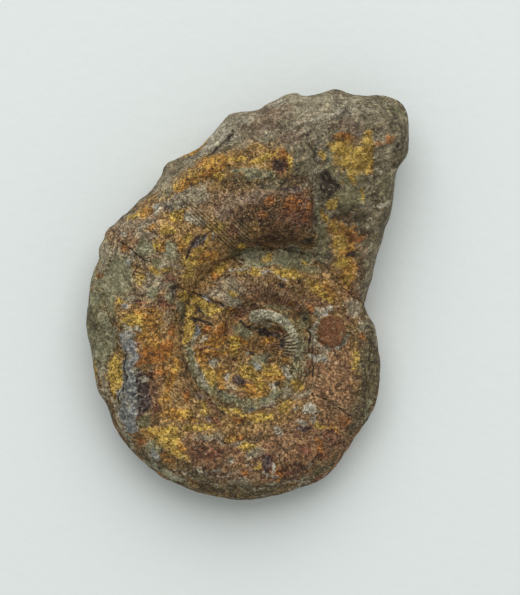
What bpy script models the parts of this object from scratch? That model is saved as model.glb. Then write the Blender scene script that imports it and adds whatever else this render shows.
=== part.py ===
"""A coiled nautiloid fossil, still held in the last of its matrix.

Shell, infilling and matrix are cemented into one stone, so the model is one closed solid. It lies on its
flat, worn back. Units are metres and +Z is up. +Y is the stone's long way, from the coil to the mouth, and
the origin is the middle of the stone's box, on the surface that it rests on.

The surface is a grid of two parameters: the place along the stone's outline, and the way from the coil axis,
out over the rim and back to the middle of the underside. Its rings follow the spiral seams.
"""

import bpy
import numpy as np

MM = 0.001

# --- Driving dimensions, in millimetres and turns -------------------------------------------------

# The outline of the stone from above, clockwise from the notch between the coil and the matrix.
OUTLINE = (
    # round the coil: right side, foot and left side
    (23.7, -2.2), (24.2, -3.4), (25.6, -6.7), (26.5, -12.0), (26.6, -16.4), (26.1, -20.8), (24.7, -23.9),
    (22.2, -28.5), (19.0, -32.8), (15.9, -36.4), (10.9, -39.0), (6.0, -40.5), (0.1, -41.3), (-4.0, -41.1),
    (-9.7, -40.2),
    (-14.6, -37.9), (-19.3, -35.0), (-23.6, -30.6), (-26.2, -27.1), (-27.7, -22.9), (-29.7, -19.3),
    (-30.5, -15.0), (-31.1, -11.0), (-32.1, -7.4), (-32.2, -4.2), (-31.5, 0.2), (-30.8, 3.6), (-29.6, 7.1),
    # up the long flank of the body chamber
    (-29.5, 8.9), (-28.6, 10.8), (-27.1, 13.4), (-24.9, 15.5), (-21.4, 18.6), (-18.8, 21.0), (-17.1, 23.6),
    (-16.5, 25.0), (-15.2, 26.3), (-12.0, 27.8), (-9.7, 29.2), (-6.9, 31.8), (-4.3, 35.0),
    # along the broken top of the matrix
    (-3.1, 36.1), (0.3, 36.6), (2.7, 37.1), (4.1, 38.2), (7.7, 39.5), (9.9, 39.9), (10.9, 39.4), (13.1, 39.6),
    (16.1, 40.4), (17.9, 40.7), (20.7, 39.8), (23.7, 39.5), (26.5, 39.6), (29.9, 38.6),
    # down the matrix's right side, back to the notch
    (31.5, 37.0), (32.3, 34.5), (32.4, 30.0), (32.0, 27.6), (30.2, 24.9), (29.6, 21.0), (28.8, 15.7),
    (27.6, 12.8), (26.6, 9.0), (25.4, 5.0), (24.6, 1.6), (24.0, -0.8),
)

COIL_AXIS = (2.6, -10.2)     # the umbilicus
WHORL_RATE = 2.25            # each turn is this many times the radius of the one inside it
SEAM_RADIUS = 10.4           # the umbilical seam's distance from the coil axis, at growth turn 0
MOUTH_TURN = 0.81            # the body chamber ends here; turn 0 points along +X and growth runs clockwise
MOUTH_X = (12.4, 15.0)       # the mouth is broken off square, and falls between these two places
FREE_RIM_TURNS = (-0.11, -0.03)  # over this stretch the last whorl comes out from under the matrix

MID_HEIGHT = 9.3             # the coil's middle plane above the rest plane, at the coil axis
MID_SLOPE = (-0.03, 0.045)   # and how it climbs along +X and +Y
WHORL_SWELL = 0.52           # half a whorl's thickness, as a share of its seam radius
CREST_AT = 0.45              # the whorl's crest, as a share of the way from its seam to its rim
SEAM_SHARES = (0.58, 0.38)   # how high the seam stays, as a share of the crest: on the coil, at the mouth
SEAM_TURNS = (0.50, 0.70)    # and the stretch of growth over which it drops
FLANK_FALL = 0.15            # how far the free flank falls between the crest and the rounded rim
SEAM_GROOVE = (0.8, 1.2)     # depth and half width of the groove along the seam

TUBE_AT = 0.30               # near the mouth the whorl is a round tube: its crest's share across the whorl,
TUBE_HALF_WIDTH = 0.20       # its half width as such a share,
TUBE_TURNS = (0.55, 0.66)    # the stretch of growth over which it rises from the flank,
TUBE_RISE = 1.0              # and how far it stands above the flank

# Spot heights of the matrix's upper face, as on a map: x, y, height.
MATRIX_SPOTS = (
    (-14.5, 25.3, 13.5), (-9.5, 27.0, 15.3), (-3.5, 31.0, 17.0), (2.5, 33.0, 18.4), (10.5, 33.0, 19.2),
    (16.5, 29.0, 19.3), (24.5, 33.0, 18.0), (30.5, 33.0, 16.0), (28.5, 23.0, 16.0), (20.5, 19.0, 18.8),
    (16.5, 13.0, 17.6), (20.5, 9.0, 16.0), (23.5, 3.0, 12.8), (13.5, 6.5, 14.4), (26.0, 13.0, 15.0),
)
SPOT_REACH = 6.0             # a spot height's say falls away over this distance
MATRIX_EDGE = (0.80, 0.98)   # over this share of the whorl's width its flank goes under the matrix

# Bumps and hollows of the broken, weathered surface: x, y, reach, rise.
BUMPS = (
    (-10.5, 24.5, 2.6, 0.7), (-5.5, 28.0, 2.2, 0.6), (16.1, 22.0, 1.7, -1.6), (4.0, 22.4, 2.6, -0.8),
    (-3.0, 22.0, 3.0, -0.7), (12.5, 7.6, 3.6, -1.2), (20.5, 27.5, 3.0, 0.7), (19.3, 7.5, 2.6, 0.6),
    (-6.0, 6.5, 2.6, 0.9), (-10.5, 9.4, 2.0, -0.8), (-28.5, -2.0, 3.2, -1.5), (-28.0, -10.0, 3.2, -1.7),
    (-26.8, -17.5, 3.0, -1.4), (-24.0, -27.0, 2.6, -0.7), (-21.5, -13.5, 2.4, 0.6), (17.2, -7.4, 2.4, 0.5),
    (12.5, -23.0, 2.2, 0.6), (-1.0, -34.0, 3.6, 0.5), (-14.0, -29.0, 2.8, 0.5), (21.0, -19.0, 2.6, 0.5),
    (-25.0, 10.0, 3.0, -0.7), (-19.5, 13.5, 2.6, 0.6), (-18.0, 6.0, 3.0, 0.4), (28.5, 31.5, 2.6, 0.7),
    (25.5, 17.5, 2.6, -0.7), (11.5, 32.0, 2.6, 0.5), (1.5, 30.0, 2.6, -0.6), (-0.9, -7.5, 1.9, 1.0),
    (3.5, -7.9, 1.2, -1.0), (2.0, -12.2, 2.4, -0.9),
)
UNEVENNESS = 0.25            # and the whole surface's gentler unevenness

RIM_ROUND = 0.62             # width of the coil's rounded rim, as a share of its seam radius
MATRIX_ROUND = 4.2           # width of the rounding along the broken matrix
BACK_ROUND = 5.5             # width of the rounding under the rim
BACK_DEPTH = 1.8             # how far the rest plane has worn into the underside, from its umbilicus
BACK_RELIEF = 0.32           # how strongly the coil still shows there
BACK_UNEVENNESS = 0.45       # and the underside's own unevenness
WORN_BLEND = 0.5             # the worn flat runs out into the rough back over about this height
CORNER_LIFT = 5.0            # how far the underside climbs at the matrix's far corner
CORNER_LINE = (36.0, 66.0)   # the climb starts and ends where x + y is this

OUTLINE_COLUMNS = 112
RINGS_PER_WHORL = 5          # inside the last seam
WHORLS_SHOWN = 2.4
RINGS = {"flank": 7, "rim": 6, "under_rim": 5, "back": 7}

STONE_COLOUR = (0.16, 0.095, 0.045, 1.0)
STONE_ROUGHNESS = 0.82


# --- Helpers --------------------------------------------------------------------------------------

def smooth_step(low, high, value):
    """0 below low, 1 above high, and a smooth S between them."""
    share = np.clip((value - low) / (high - low), 0.0, 1.0)
    return share * share * (3.0 - 2.0 * share)


def unevenness(x, y):
    """A gentle unevenness, mostly from -1 to 1: waves in turned directions, so that it never repeats."""
    total = np.zeros_like(x)
    for wave in range(7):
        heading = 2.4 * wave
        per_mm = 0.42 + 0.11 * wave
        total += np.sin(per_mm * (x * np.cos(heading) + y * np.sin(heading)) + 1.9 * wave)
    return total / 3.0


# --- Outline --------------------------------------------------------------------------------------

def outline_points(columns):
    """Points spaced evenly along a closed Catmull-Rom curve through OUTLINE."""
    knots = np.array(OUTLINE)
    before, after, last = np.roll(knots, 1, axis=0), np.roll(knots, -1, axis=0), np.roll(knots, -2, axis=0)
    share = np.linspace(0.0, 1.0, 24, endpoint=False)[None, :, None]
    p0, p1, p2, p3 = (k[:, None, :] for k in (before, knots, after, last))
    curve = 0.5 * (2 * p1 + (p2 - p0) * share + (2 * p0 - 5 * p1 + 4 * p2 - p3) * share**2
                   + (3 * p1 - 3 * p2 + p3 - p0) * share**3)
    curve = curve.reshape(-1, 2)
    closed = np.vstack([curve, curve[:1]])
    along = np.concatenate([[0.0], np.cumsum(np.linalg.norm(np.diff(closed, axis=0), axis=1))])
    wanted = np.linspace(0.0, along[-1], columns, endpoint=False)
    return np.stack([np.interp(wanted, along, closed[:, k]) for k in range(2)], axis=1)


# --- Coil and matrix ------------------------------------------------------------------------------

def turn_angle(x, y):
    """A point's direction from the coil axis, in turns clockwise from +X."""
    return np.mod(-np.arctan2(y - COIL_AXIS[1], x - COIL_AXIS[0]) / (2 * np.pi), 1.0)


def coil_place(x, y):
    """(growth turn, share across the whorl) of each point.

    The seam is a logarithmic spiral: radius = SEAM_RADIUS * WHORL_RATE ** turn. The logarithm of a point's
    radius, less its own angle in turns, counts the whorls inside it, and what is left over is the share. No
    whorl lies outside the last one, so past its rim the share grows beyond 1.
    """
    radius = np.maximum(np.hypot(x - COIL_AXIS[0], y - COIL_AXIS[1]), 0.4)
    angle = turn_angle(x, y)
    whorls = np.log(radius / SEAM_RADIUS) / np.log(WHORL_RATE) - angle
    count = np.minimum(np.floor(whorls), 0.0)
    across = (WHORL_RATE ** (whorls - count) - 1.0) / (WHORL_RATE - 1.0)
    return angle + count, across


def mid_height(x, y):
    """Height of the coil's middle plane."""
    return MID_HEIGHT + MID_SLOPE[0] * (x - COIL_AXIS[0]) + MID_SLOPE[1] * (y - COIL_AXIS[1])


def seam_share(turn):
    """The seam's height as a share of its whorl's crest. Near the mouth the tube stands well clear of it."""
    return SEAM_SHARES[0] + (SEAM_SHARES[1] - SEAM_SHARES[0]) * smooth_step(*SEAM_TURNS, turn)


def shell_height(x, y):
    """Height of the whorls: an arch from seam to seam, whose thickness grows with the spiral."""
    turn, across = coil_place(x, y)
    across = np.minimum(across, 1.0)
    swell = WHORL_SWELL * SEAM_RADIUS * WHORL_RATE ** turn
    free = smooth_step(*FREE_RIM_TURNS, turn)
    outer_share = seam_share(turn + 1.0) * WHORL_RATE * (1 - free) + (1 - FLANK_FALL) * free
    inner = np.clip((CREST_AT - across) / CREST_AT, 0.0, 1.0)
    outer = np.clip((across - CREST_AT) / (1.0 - CREST_AT), 0.0, 1.0)
    arch = 1.0 - (1.0 - seam_share(turn)) * inner**3 - (1.0 - outer_share) * outer**2.5
    whorl_width = (WHORL_RATE - 1.0) * SEAM_RADIUS * WHORL_RATE ** turn
    from_seam = np.where(free > 0.5, across, np.minimum(across, 1.0 - across)) * whorl_width
    groove = SEAM_GROOVE[0] * np.exp(-((from_seam / SEAM_GROOVE[1]) ** 2))
    near_mouth = smooth_step(*TUBE_TURNS, turn)
    tube = TUBE_RISE * near_mouth * np.exp(-(((across - TUBE_AT) / TUBE_HALF_WIDTH) ** 4))
    return mid_height(x, y) + swell * arch - groove + tube


def matrix_height(x, y):
    """Height of the matrix: the spot heights, each with a say that falls away with distance."""
    spots = np.array(MATRIX_SPOTS)
    far = (x[..., None] - spots[:, 0]) ** 2 + (y[..., None] - spots[:, 1]) ** 2
    say = np.exp(-far / (2 * SPOT_REACH**2)) + 1e-9
    return (say * spots[:, 2]).sum(axis=-1) / say.sum(axis=-1)


def matrix_share(x, y):
    """1 on the matrix and 0 on the shell: past the mouth, and outside the body chamber's covered flank."""
    turn, across = coil_place(x, y)
    past_mouth = smooth_step(*MOUTH_X, x) * (turn > 0.5)
    covered = smooth_step(*MATRIX_EDGE, across) * smooth_step(0.58, 0.66, turn)
    return np.maximum(past_mouth, covered)


def weathering(x, y):
    """Rise of the bumps and hollows, each a smooth mound over its own reach."""
    total = UNEVENNESS * unevenness(x, y)
    for bump_x, bump_y, reach, rise in BUMPS:
        total += rise * np.exp(-((x - bump_x) ** 2 + (y - bump_y) ** 2) / reach**2)
    return total


def top_height(x, y):
    """Height of the upper side, before its edge is rounded."""
    share = matrix_share(x, y)
    return shell_height(x, y) * (1 - share) + matrix_height(x, y) * share + weathering(x, y)


def back_height(x, y):
    """Height of the underside, worn flat where it would pass below the rest plane.

    The worn edge is a smooth maximum of the rough height h and 0: (h + sqrt(h^2 + blend^2) - blend) / 2,
    taken as flat where it is less than a tenth of the blend.
    """
    relief = BACK_RELIEF * (top_height(x, y) - mid_height(x, y))
    lift = CORNER_LIFT * smooth_step(*CORNER_LINE, x + y)
    rough = BACK_DEPTH - relief + BACK_UNEVENNESS * unevenness(y + 9.0, x) + lift
    worn = (rough + np.sqrt(rough**2 + WORN_BLEND**2) - WORN_BLEND) / 2
    return np.where(worn < WORN_BLEND / 10, 0.0, worn)


# --- The closed surface ---------------------------------------------------------------------------

def round_widths(edge):
    """How far in from each outline point the rounding of the upper edge starts."""
    x, y = (COIL_AXIS[k] + 0.97 * (edge[:, k] - COIL_AXIS[k]) for k in range(2))
    turn, _ = coil_place(x, y)
    on_matrix = matrix_share(x, y)
    width = RIM_ROUND * SEAM_RADIUS * WHORL_RATE ** turn * (1 - on_matrix) + MATRIX_ROUND * on_matrix
    for _ in range(3):
        width = (np.roll(width, 1) + 2 * width + np.roll(width, -1)) / 4
    return width


def top_shares(edge, reach, inside):
    """The flat part's rings, as shares of the way to the outline.

    Inside the last seam the rings shrink by the spiral's own rate, so that each of them keeps its place
    across its whorl. Past the mouth they drop from the last whorl's seam to the seam before it.
    """
    angle = turn_angle(edge[:, 0], edge[:, 1])
    seam_turn = angle - smooth_step(MOUTH_TURN, 1.0, angle)
    seam = SEAM_RADIUS * WHORL_RATE ** seam_turn / reach
    steps = np.arange(-int(RINGS_PER_WHORL * WHORLS_SHOWN), 1)[:, None]
    bowl = seam * WHORL_RATE ** (steps / RINGS_PER_WHORL)
    flank = seam + (inside - seam) * np.arange(1, RINGS["flank"] + 1)[:, None] / RINGS["flank"]
    return np.vstack([bowl, flank])


def surface_grid(columns):
    """Vertices as an array of rings by columns, from the first ring on top to the last ring underneath.

    Near the rim a ring's height follows a quarter ellipse, so that top and underside meet in one upright
    tangent.
    """
    edge = outline_points(columns)
    reach = np.hypot(edge[:, 0] - COIL_AXIS[0], edge[:, 1] - COIL_AXIS[1])
    rim_height = mid_height(edge[:, 0], edge[:, 1])
    top_inside = 1.0 - round_widths(edge) / reach
    back_inside = 1.0 - BACK_ROUND / reach
    back_shares = back_inside * np.arange(1, RINGS["back"] + 1)[:, None] / RINGS["back"]
    rings = []
    for height, inside, flat, round_rings in (
        (top_height, top_inside, top_shares(edge, reach, top_inside), RINGS["rim"]),
        (back_height, back_inside, back_shares, RINGS["under_rim"]),
    ):
        angle = np.linspace(0.0, np.pi / 2, round_rings + 1)[1:, None]
        share = np.vstack([flat, 1.0 - (1.0 - inside) * (1.0 - np.sin(angle))])
        closing = np.vstack([np.ones_like(flat), np.cos(angle) * np.ones(columns)])
        x, y = (COIL_AXIS[k] + share * (edge[:, k] - COIL_AXIS[k]) for k in range(2))
        z = rim_height + (height(x, y) - rim_height) * closing
        rings.append(np.stack([x, y, z], axis=-1))
    top, back = rings
    return np.vstack([top, back[-2::-1]])


def closed_mesh(name, grid, top_pole, back_pole):
    """One closed mesh: quads between the rings, and a fan of triangles to each pole."""
    rings, columns, _ = grid.shape
    index = np.arange(rings * columns).reshape(rings, columns)
    following = np.roll(index, -1, axis=1)
    quads = np.stack([index[:-1], following[:-1], following[1:], index[1:]], axis=-1).reshape(-1, 4)
    top, back = rings * columns, rings * columns + 1
    fan = [(top, int(b), int(a)) for a, b in zip(index[0], following[0])]
    fan += [(back, int(a), int(b)) for a, b in zip(index[-1], following[-1])]
    points = np.vstack([grid.reshape(-1, 3), [top_pole], [back_pole]])
    mesh = bpy.data.meshes.new(name)
    mesh.from_pydata(points.tolist(), [], quads.tolist() + fan)
    mesh.validate()
    mesh.update()
    return mesh


def stone_material():
    """Weathered ironstone and grey-brown matrix, as one mean colour."""
    material = bpy.data.materials.new("weathered_ironstone")
    material.use_nodes = True
    shader = material.node_tree.nodes["Principled BSDF"]
    shader.inputs["Base Color"].default_value = STONE_COLOUR
    shader.inputs["Roughness"].default_value = STONE_ROUGHNESS
    shader.inputs["Metallic"].default_value = 0.0
    return material


def nautiloid_fossil():
    """The whole stone, centred on its own box and standing on z = 0."""
    grid = surface_grid(OUTLINE_COLUMNS)
    axis_x, axis_y = (np.full(1, place) for place in COIL_AXIS)
    top_pole = [*COIL_AXIS, float(top_height(axis_x, axis_y)[0])]
    back_pole = [*COIL_AXIS, float(back_height(axis_x, axis_y)[0])]
    low, high = grid.reshape(-1, 3).min(axis=0), grid.reshape(-1, 3).max(axis=0)
    shift = np.array([-(low[0] + high[0]) / 2, -(low[1] + high[1]) / 2, 0.0])
    mesh = closed_mesh("nautiloid_fossil", (grid + shift) * MM,
                       (top_pole + shift) * MM, (back_pole + shift) * MM)
    mesh.shade_smooth()
    stone = bpy.data.objects.new("nautiloid_fossil", mesh)
    stone.data.materials.append(stone_material())
    bpy.context.scene.collection.objects.link(stone)
    return stone


def main():
    for old in list(bpy.data.objects):
        bpy.data.objects.remove(old, do_unlink=True)
    nautiloid_fossil()


main()
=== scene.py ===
# %% [markdown]
# # A coiled fossil shell in its matrix
# The object is one stone: a coiled shell, filled and coated with iron minerals, with its broken mouth still
# held in a wedge of the rock that it was buried in. The CAD frame carries the main form. Here the same
# surface is worked out again as a fine grid, so that ribs, cracks, pits and crusts can be real relief.

import bpy
import numpy as np
from mathutils import Matrix


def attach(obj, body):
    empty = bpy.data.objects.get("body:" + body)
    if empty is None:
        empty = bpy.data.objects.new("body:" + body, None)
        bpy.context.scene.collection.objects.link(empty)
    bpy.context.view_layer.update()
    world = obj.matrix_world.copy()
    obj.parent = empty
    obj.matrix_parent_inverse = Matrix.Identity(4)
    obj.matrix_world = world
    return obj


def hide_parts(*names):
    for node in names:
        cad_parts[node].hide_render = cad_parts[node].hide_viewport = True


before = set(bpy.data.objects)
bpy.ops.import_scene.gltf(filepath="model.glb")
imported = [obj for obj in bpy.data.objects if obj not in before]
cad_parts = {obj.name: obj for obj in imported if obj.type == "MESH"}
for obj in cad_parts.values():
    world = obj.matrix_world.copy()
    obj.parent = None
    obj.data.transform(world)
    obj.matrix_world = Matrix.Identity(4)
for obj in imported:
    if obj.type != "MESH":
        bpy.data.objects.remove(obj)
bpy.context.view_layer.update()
MM = 0.001

# %% [markdown]
# ## Small tools for shapes
# Blender's own noise textures only work inside a material or a modifier, one point at a time. A stone needs
# its unevenness in the mesh, so the noise is written here for whole arrays. Value noise is the simplest
# kind: random numbers on a lattice, blended smoothly between the lattice points.


# %% Steps, noise and chips
NOISE_TILE, CHIP_TILE = 97, 61    # cells of a lattice before its random numbers repeat
OCTAVE_TURN = 0.9                 # radians that each octave is turned against the one before
CHIP_BEND, CHIP_BEND_SIZE = 0.55, 1.3   # the noise that bends the chips' lattice: reach and size, in cells
FAR_OFF = 9.0                     # stands for a distance beyond any that matters


def smooth_step(low, high, value):
    """0 below low, 1 above high; between them 3 t^2 - 2 t^3, with t the share of the way."""
    share = np.clip((value - low) / (high - low), 0.0, 1.0)
    return share * share * (3.0 - 2.0 * share)


def lattice_noise(x, y, size, seed):
    """Value noise from -1 to 1. Each point takes the four lattice values round it, weighted by smooth steps.

    size is the lattice's spacing in mm.
    """
    tile = NOISE_TILE
    values = np.random.default_rng(seed).uniform(-1.0, 1.0, (tile, tile))
    u, v = x / size, y / size
    i, j = np.floor(u).astype(int), np.floor(v).astype(int)
    s, t = smooth_step(0.0, 1.0, u - i), smooth_step(0.0, 1.0, v - j)
    low = values[i % tile, j % tile] * (1 - s) + values[(i + 1) % tile, j % tile] * s
    high = values[i % tile, (j + 1) % tile] * (1 - s) + values[(i + 1) % tile, (j + 1) % tile] * s
    return low * (1 - t) + high * t


def rough(x, y, size, octaves, seed, keep=0.55):
    """Several octaves of noise: each is half the size of the one before, weaker by `keep`, and turned."""
    total = np.zeros_like(x)
    for octave in range(octaves):
        cos, sin = np.cos(OCTAVE_TURN * octave), np.sin(OCTAVE_TURN * octave)
        noise = lattice_noise(x * cos + y * sin, y * cos - x * sin, size / 2**octave, seed + octave)
        total += keep**octave * noise
    return total


def chips(x, y, size, seed):
    """Broken rock: shallow bowls that meet in sharp edges, from 0 at a bowl's middle to about 1 at an edge.

    The square of the distance to the nearest of one random point in each lattice cell. The lattice is warped
    by noise first, so that no two chips are alike.
    """
    tile = CHIP_TILE
    spot = np.random.default_rng(seed).uniform(0.0, 1.0, (tile, tile, 2))
    u = x / size + CHIP_BEND * rough(x, y, CHIP_BEND_SIZE * size, octaves=3, seed=seed + 7)
    v = y / size + CHIP_BEND * rough(y, x, CHIP_BEND_SIZE * size, octaves=3, seed=seed + 8)
    i, j = np.floor(u).astype(int), np.floor(v).astype(int)
    nearest = np.full(x.shape, FAR_OFF)
    for di in (-1, 0, 1):
        for dj in (-1, 0, 1):
            place = spot[(i + di) % tile, (j + dj) % tile]
            far = (i + di + place[..., 0] - u) ** 2 + (j + dj + place[..., 1] - v) ** 2
            nearest = np.minimum(nearest, far)
    return nearest


def line_distance(x, y, points):
    """(signed distance to a line of points, share of the way along it). Positive on the line's left side.

    For each stretch the point is dropped onto it, no further than its ends, and the nearest stretch counts.
    """
    points = np.array(points, dtype=float)
    lengths = np.linalg.norm(np.diff(points, axis=0), axis=1)
    before = np.concatenate([[0.0], np.cumsum(lengths)])
    best, side, along = np.full(x.shape, np.inf), np.ones(x.shape), np.zeros(x.shape)
    for (ax, ay), (bx, by), start, length in zip(points[:-1], points[1:], before[:-1], lengths):
        dx, dy = (bx - ax) / length, (by - ay) / length
        walk = np.clip((x - ax) * dx + (y - ay) * dy, 0.0, length)
        far = np.hypot(x - ax - walk * dx, y - ay - walk * dy)
        nearer = far < best
        best = np.where(nearer, far, best)
        side = np.where(nearer, np.where((y - ay) * dx - (x - ax) * dy >= 0, 1.0, -1.0), side)
        along = np.where(nearer, (start + walk) / before[-1], along)
    return best * side, along


print("noise at three places:", lattice_noise(np.arange(3.0), np.arange(3.0), 0.7, 1).round(2))

# %% [markdown]
# ## The stone's outline
# Seen from above, the stone is a round coil with a wedge of matrix standing up from its shoulder. Its edge
# is a closed curve through points at the places where the edge turns. A Catmull-Rom curve passes through
# every point, so a point can be read straight off the stone, which a Bezier's handles would make harder.

# %% Outline, in mm, clockwise from the notch between coil and matrix
OUTLINE = (
    # round the coil: right side, foot and left side
    (23.7, -2.2), (24.2, -3.4), (25.6, -6.7), (26.5, -12.0), (26.6, -16.4), (26.1, -20.8), (24.7, -23.9),
    (22.2, -28.5), (19.0, -32.8), (15.9, -36.4), (10.9, -39.0), (6.0, -40.5), (0.1, -41.3), (-4.0, -41.1),
    (-9.7, -40.2),
    (-14.6, -37.9), (-19.3, -35.0), (-23.6, -30.6), (-26.2, -27.1), (-27.7, -22.9), (-29.7, -19.3),
    (-30.5, -15.0), (-31.1, -11.0), (-32.1, -7.4), (-32.2, -4.2), (-31.5, 0.2), (-30.8, 3.6), (-29.6, 7.1),
    # up the long flank of the body chamber
    (-29.5, 8.9), (-28.6, 10.8), (-27.1, 13.4), (-24.9, 15.5), (-21.4, 18.6), (-18.8, 21.0), (-17.1, 23.6),
    (-16.5, 25.0), (-15.2, 26.3), (-12.0, 27.8), (-9.7, 29.2), (-6.9, 31.8), (-4.3, 35.0),
    # along the broken top of the matrix
    (-3.1, 36.1), (0.3, 36.6), (2.7, 37.1), (4.1, 38.2), (7.7, 39.5), (9.9, 39.9), (10.9, 39.4),
    (13.1, 39.6), (16.1, 40.4), (17.9, 40.7), (20.7, 39.8), (23.7, 39.5), (26.5, 39.6), (29.9, 38.6),
    # down the matrix's right side, back to the notch
    (31.5, 37.0), (32.3, 34.5), (32.4, 30.0), (32.0, 27.6), (30.2, 24.9), (29.6, 21.0), (28.8, 15.7),
    (27.6, 12.8), (26.6, 9.0), (25.4, 5.0), (24.6, 1.6), (24.0, -0.8),
)
KNOT_STEPS = 24                   # steps of the curve between two of its points


def outline_points(columns):
    """Points spaced evenly along a closed Catmull-Rom curve through OUTLINE.

    Between knots p1 and p2 the curve is half of 2 p1 + (p2 - p0) t + (2 p0 - 5 p1 + 4 p2 - p3) t^2
    + (3 p1 - 3 p2 + p3 - p0) t^3.
    """
    knots = np.array(OUTLINE)
    t = np.linspace(0.0, 1.0, KNOT_STEPS, endpoint=False)[None, :, None]
    p0, p1, p2, p3 = (np.roll(knots, shift, axis=0)[:, None, :] for shift in (1, 0, -1, -2))
    curve = 0.5 * (2 * p1 + (p2 - p0) * t + (2 * p0 - 5 * p1 + 4 * p2 - p3) * t**2
                   + (3 * p1 - 3 * p2 + p3 - p0) * t**3).reshape(-1, 2)
    closed = np.vstack([curve, curve[:1]])
    along = np.concatenate([[0.0], np.cumsum(np.linalg.norm(np.diff(closed, axis=0), axis=1))])
    wanted = np.linspace(0.0, along[-1], columns, endpoint=False)
    return np.stack([np.interp(wanted, along, closed[:, k]) for k in range(2)], axis=1)


# %% [markdown]
# ## The coil
# A coiled shell grows by the same share with each turn, so its seam is a logarithmic spiral. That gives
# every point of the stone two natural coordinates: the growth turn, and the share of the way across its
# whorl. A whorl's height is then one arch over the second, scaled by the first.

# %% Coil coordinates
COIL_AXIS = (2.6, -10.2)          # the umbilicus, in mm
WHORL_RATE = 2.25                 # each turn is this many times the radius of the one inside it
SEAM_RADIUS = 10.4                # the last seam's distance from the axis where its turn is 0, in mm
MOUTH_TURN = 0.81                 # the body chamber ends here
CORE_RADIUS = 0.4                 # the whorls aren't followed further in than this, in mm


def turn_angle(x, y):
    """A point's direction from the coil axis, in turns clockwise from +X."""
    return np.mod(-np.arctan2(y - COIL_AXIS[1], x - COIL_AXIS[0]) / (2 * np.pi), 1.0)


def coil_place(x, y):
    """(growth turn, share across the whorl). The seam's radius is SEAM_RADIUS * WHORL_RATE ** turn."""
    radius = np.maximum(np.hypot(x - COIL_AXIS[0], y - COIL_AXIS[1]), CORE_RADIUS)
    angle = turn_angle(x, y)
    whorls = np.log(radius / SEAM_RADIUS) / np.log(WHORL_RATE) - angle
    count = np.minimum(np.floor(whorls), 0.0)
    across = (WHORL_RATE ** (whorls - count) - 1.0) / (WHORL_RATE - 1.0)
    return angle + count, across


def past_seam(x, y):
    """How far a point lies outside the last whorl's seam, in mm: its radius less the seam's radius."""
    radius = np.hypot(x - COIL_AXIS[0], y - COIL_AXIS[1])
    return radius - SEAM_RADIUS * WHORL_RATE ** turn_angle(x, y)


# %% Heights of the whorls and the matrix, as in the CAD frame
MID_HEIGHT, MID_SLOPE = 9.3, (-0.03, 0.045)     # the middle plane at the axis, and how it climbs along x, y
WHORL_SWELL = 0.52                # a whorl's half thickness, as a share of its seam's radius
CREST_AT, FLANK_FALL = 0.45, 0.15       # where across the whorl its crest is, and the fall to a free rim
SEAM_SHARES, SEAM_TURNS = (0.58, 0.38), (0.50, 0.70)    # the seam's share of the crest, and where it falls
SEAM_GROOVE = (0.8, 1.2)          # depth and half width, in mm
FREE_RIM_TURNS = (-0.11, -0.03)   # over this stretch the last whorl comes out from under the matrix
TUBE_AT, TUBE_HALF_WIDTH = 0.30, 0.20   # the swollen tube near the mouth, in shares across the whorl
TUBE_TURNS, TUBE_RISE = (0.55, 0.66), 1.0
MOUTH_X = (12.4, 15.0)            # the mouth is broken off square, and falls between these two places
MATRIX_EDGE, COVER_TURNS = (0.80, 0.98), (0.58, 0.66)   # where the matrix covers the body chamber's flank
MATRIX_LAP = 1.0                  # how far the matrix laps over the edge of the whorl beside it
MATRIX_WANDER = (0.9, 0.05)       # how far noise moves its edge: in mm at the mouth, in shares on the flank
MATRIX_SPOTS = (
    # x, y, height
    (-14.5, 25.3, 13.5), (-9.5, 27.0, 15.3), (-3.5, 31.0, 17.0), (2.5, 33.0, 18.4), (10.5, 33.0, 19.2),
    (16.5, 29.0, 19.3), (24.5, 33.0, 18.0), (30.5, 33.0, 16.0), (28.5, 23.0, 16.0), (20.5, 19.0, 18.8),
    (16.5, 13.0, 17.6), (20.5, 9.0, 16.0), (23.5, 3.0, 12.8), (13.5, 6.5, 14.4), (26.0, 13.0, 15.0),
)
SPOT_REACH = 6.0                  # how far a spot's height carries, in mm


def mid_height(x, y):
    """Height of the coil's middle plane: a gently sloping plane."""
    return MID_HEIGHT + MID_SLOPE[0] * (x - COIL_AXIS[0]) + MID_SLOPE[1] * (y - COIL_AXIS[1])


def seam_share(turn):
    """The seam's height as a share of its whorl's crest: a smooth step down towards the mouth."""
    return SEAM_SHARES[0] + (SEAM_SHARES[1] - SEAM_SHARES[0]) * smooth_step(*SEAM_TURNS, turn)


def shell_height(x, y):
    """An arch across each whorl, times half the whorl's thickness, less a groove along the seam.

    The arch is 1 at the crest. It falls with the cube of the way to the seam inside it, and with the 2.5th
    power of the way to the rim or the seam outside it. The tube near the mouth is a flat-topped bell on it.
    """
    turn, across = coil_place(x, y)
    across = np.minimum(across, 1.0)
    swell = WHORL_SWELL * SEAM_RADIUS * WHORL_RATE**turn
    free = smooth_step(*FREE_RIM_TURNS, turn)
    outer_share = seam_share(turn + 1.0) * WHORL_RATE * (1 - free) + (1 - FLANK_FALL) * free
    inner = np.clip((CREST_AT - across) / CREST_AT, 0.0, 1.0)
    outer = np.clip((across - CREST_AT) / (1.0 - CREST_AT), 0.0, 1.0)
    arch = 1.0 - (1.0 - seam_share(turn)) * inner**3 - (1.0 - outer_share) * outer**2.5
    width = (WHORL_RATE - 1.0) * SEAM_RADIUS * WHORL_RATE**turn
    from_seam = np.where(free > 0.5, across, np.minimum(across, 1.0 - across)) * width
    groove = SEAM_GROOVE[0] * np.exp(-((from_seam / SEAM_GROOVE[1]) ** 2))
    tube = np.exp(-(((across - TUBE_AT) / TUBE_HALF_WIDTH) ** 4))
    return mid_height(x, y) + swell * arch - groove + TUBE_RISE * smooth_step(*TUBE_TURNS, turn) * tube


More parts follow.
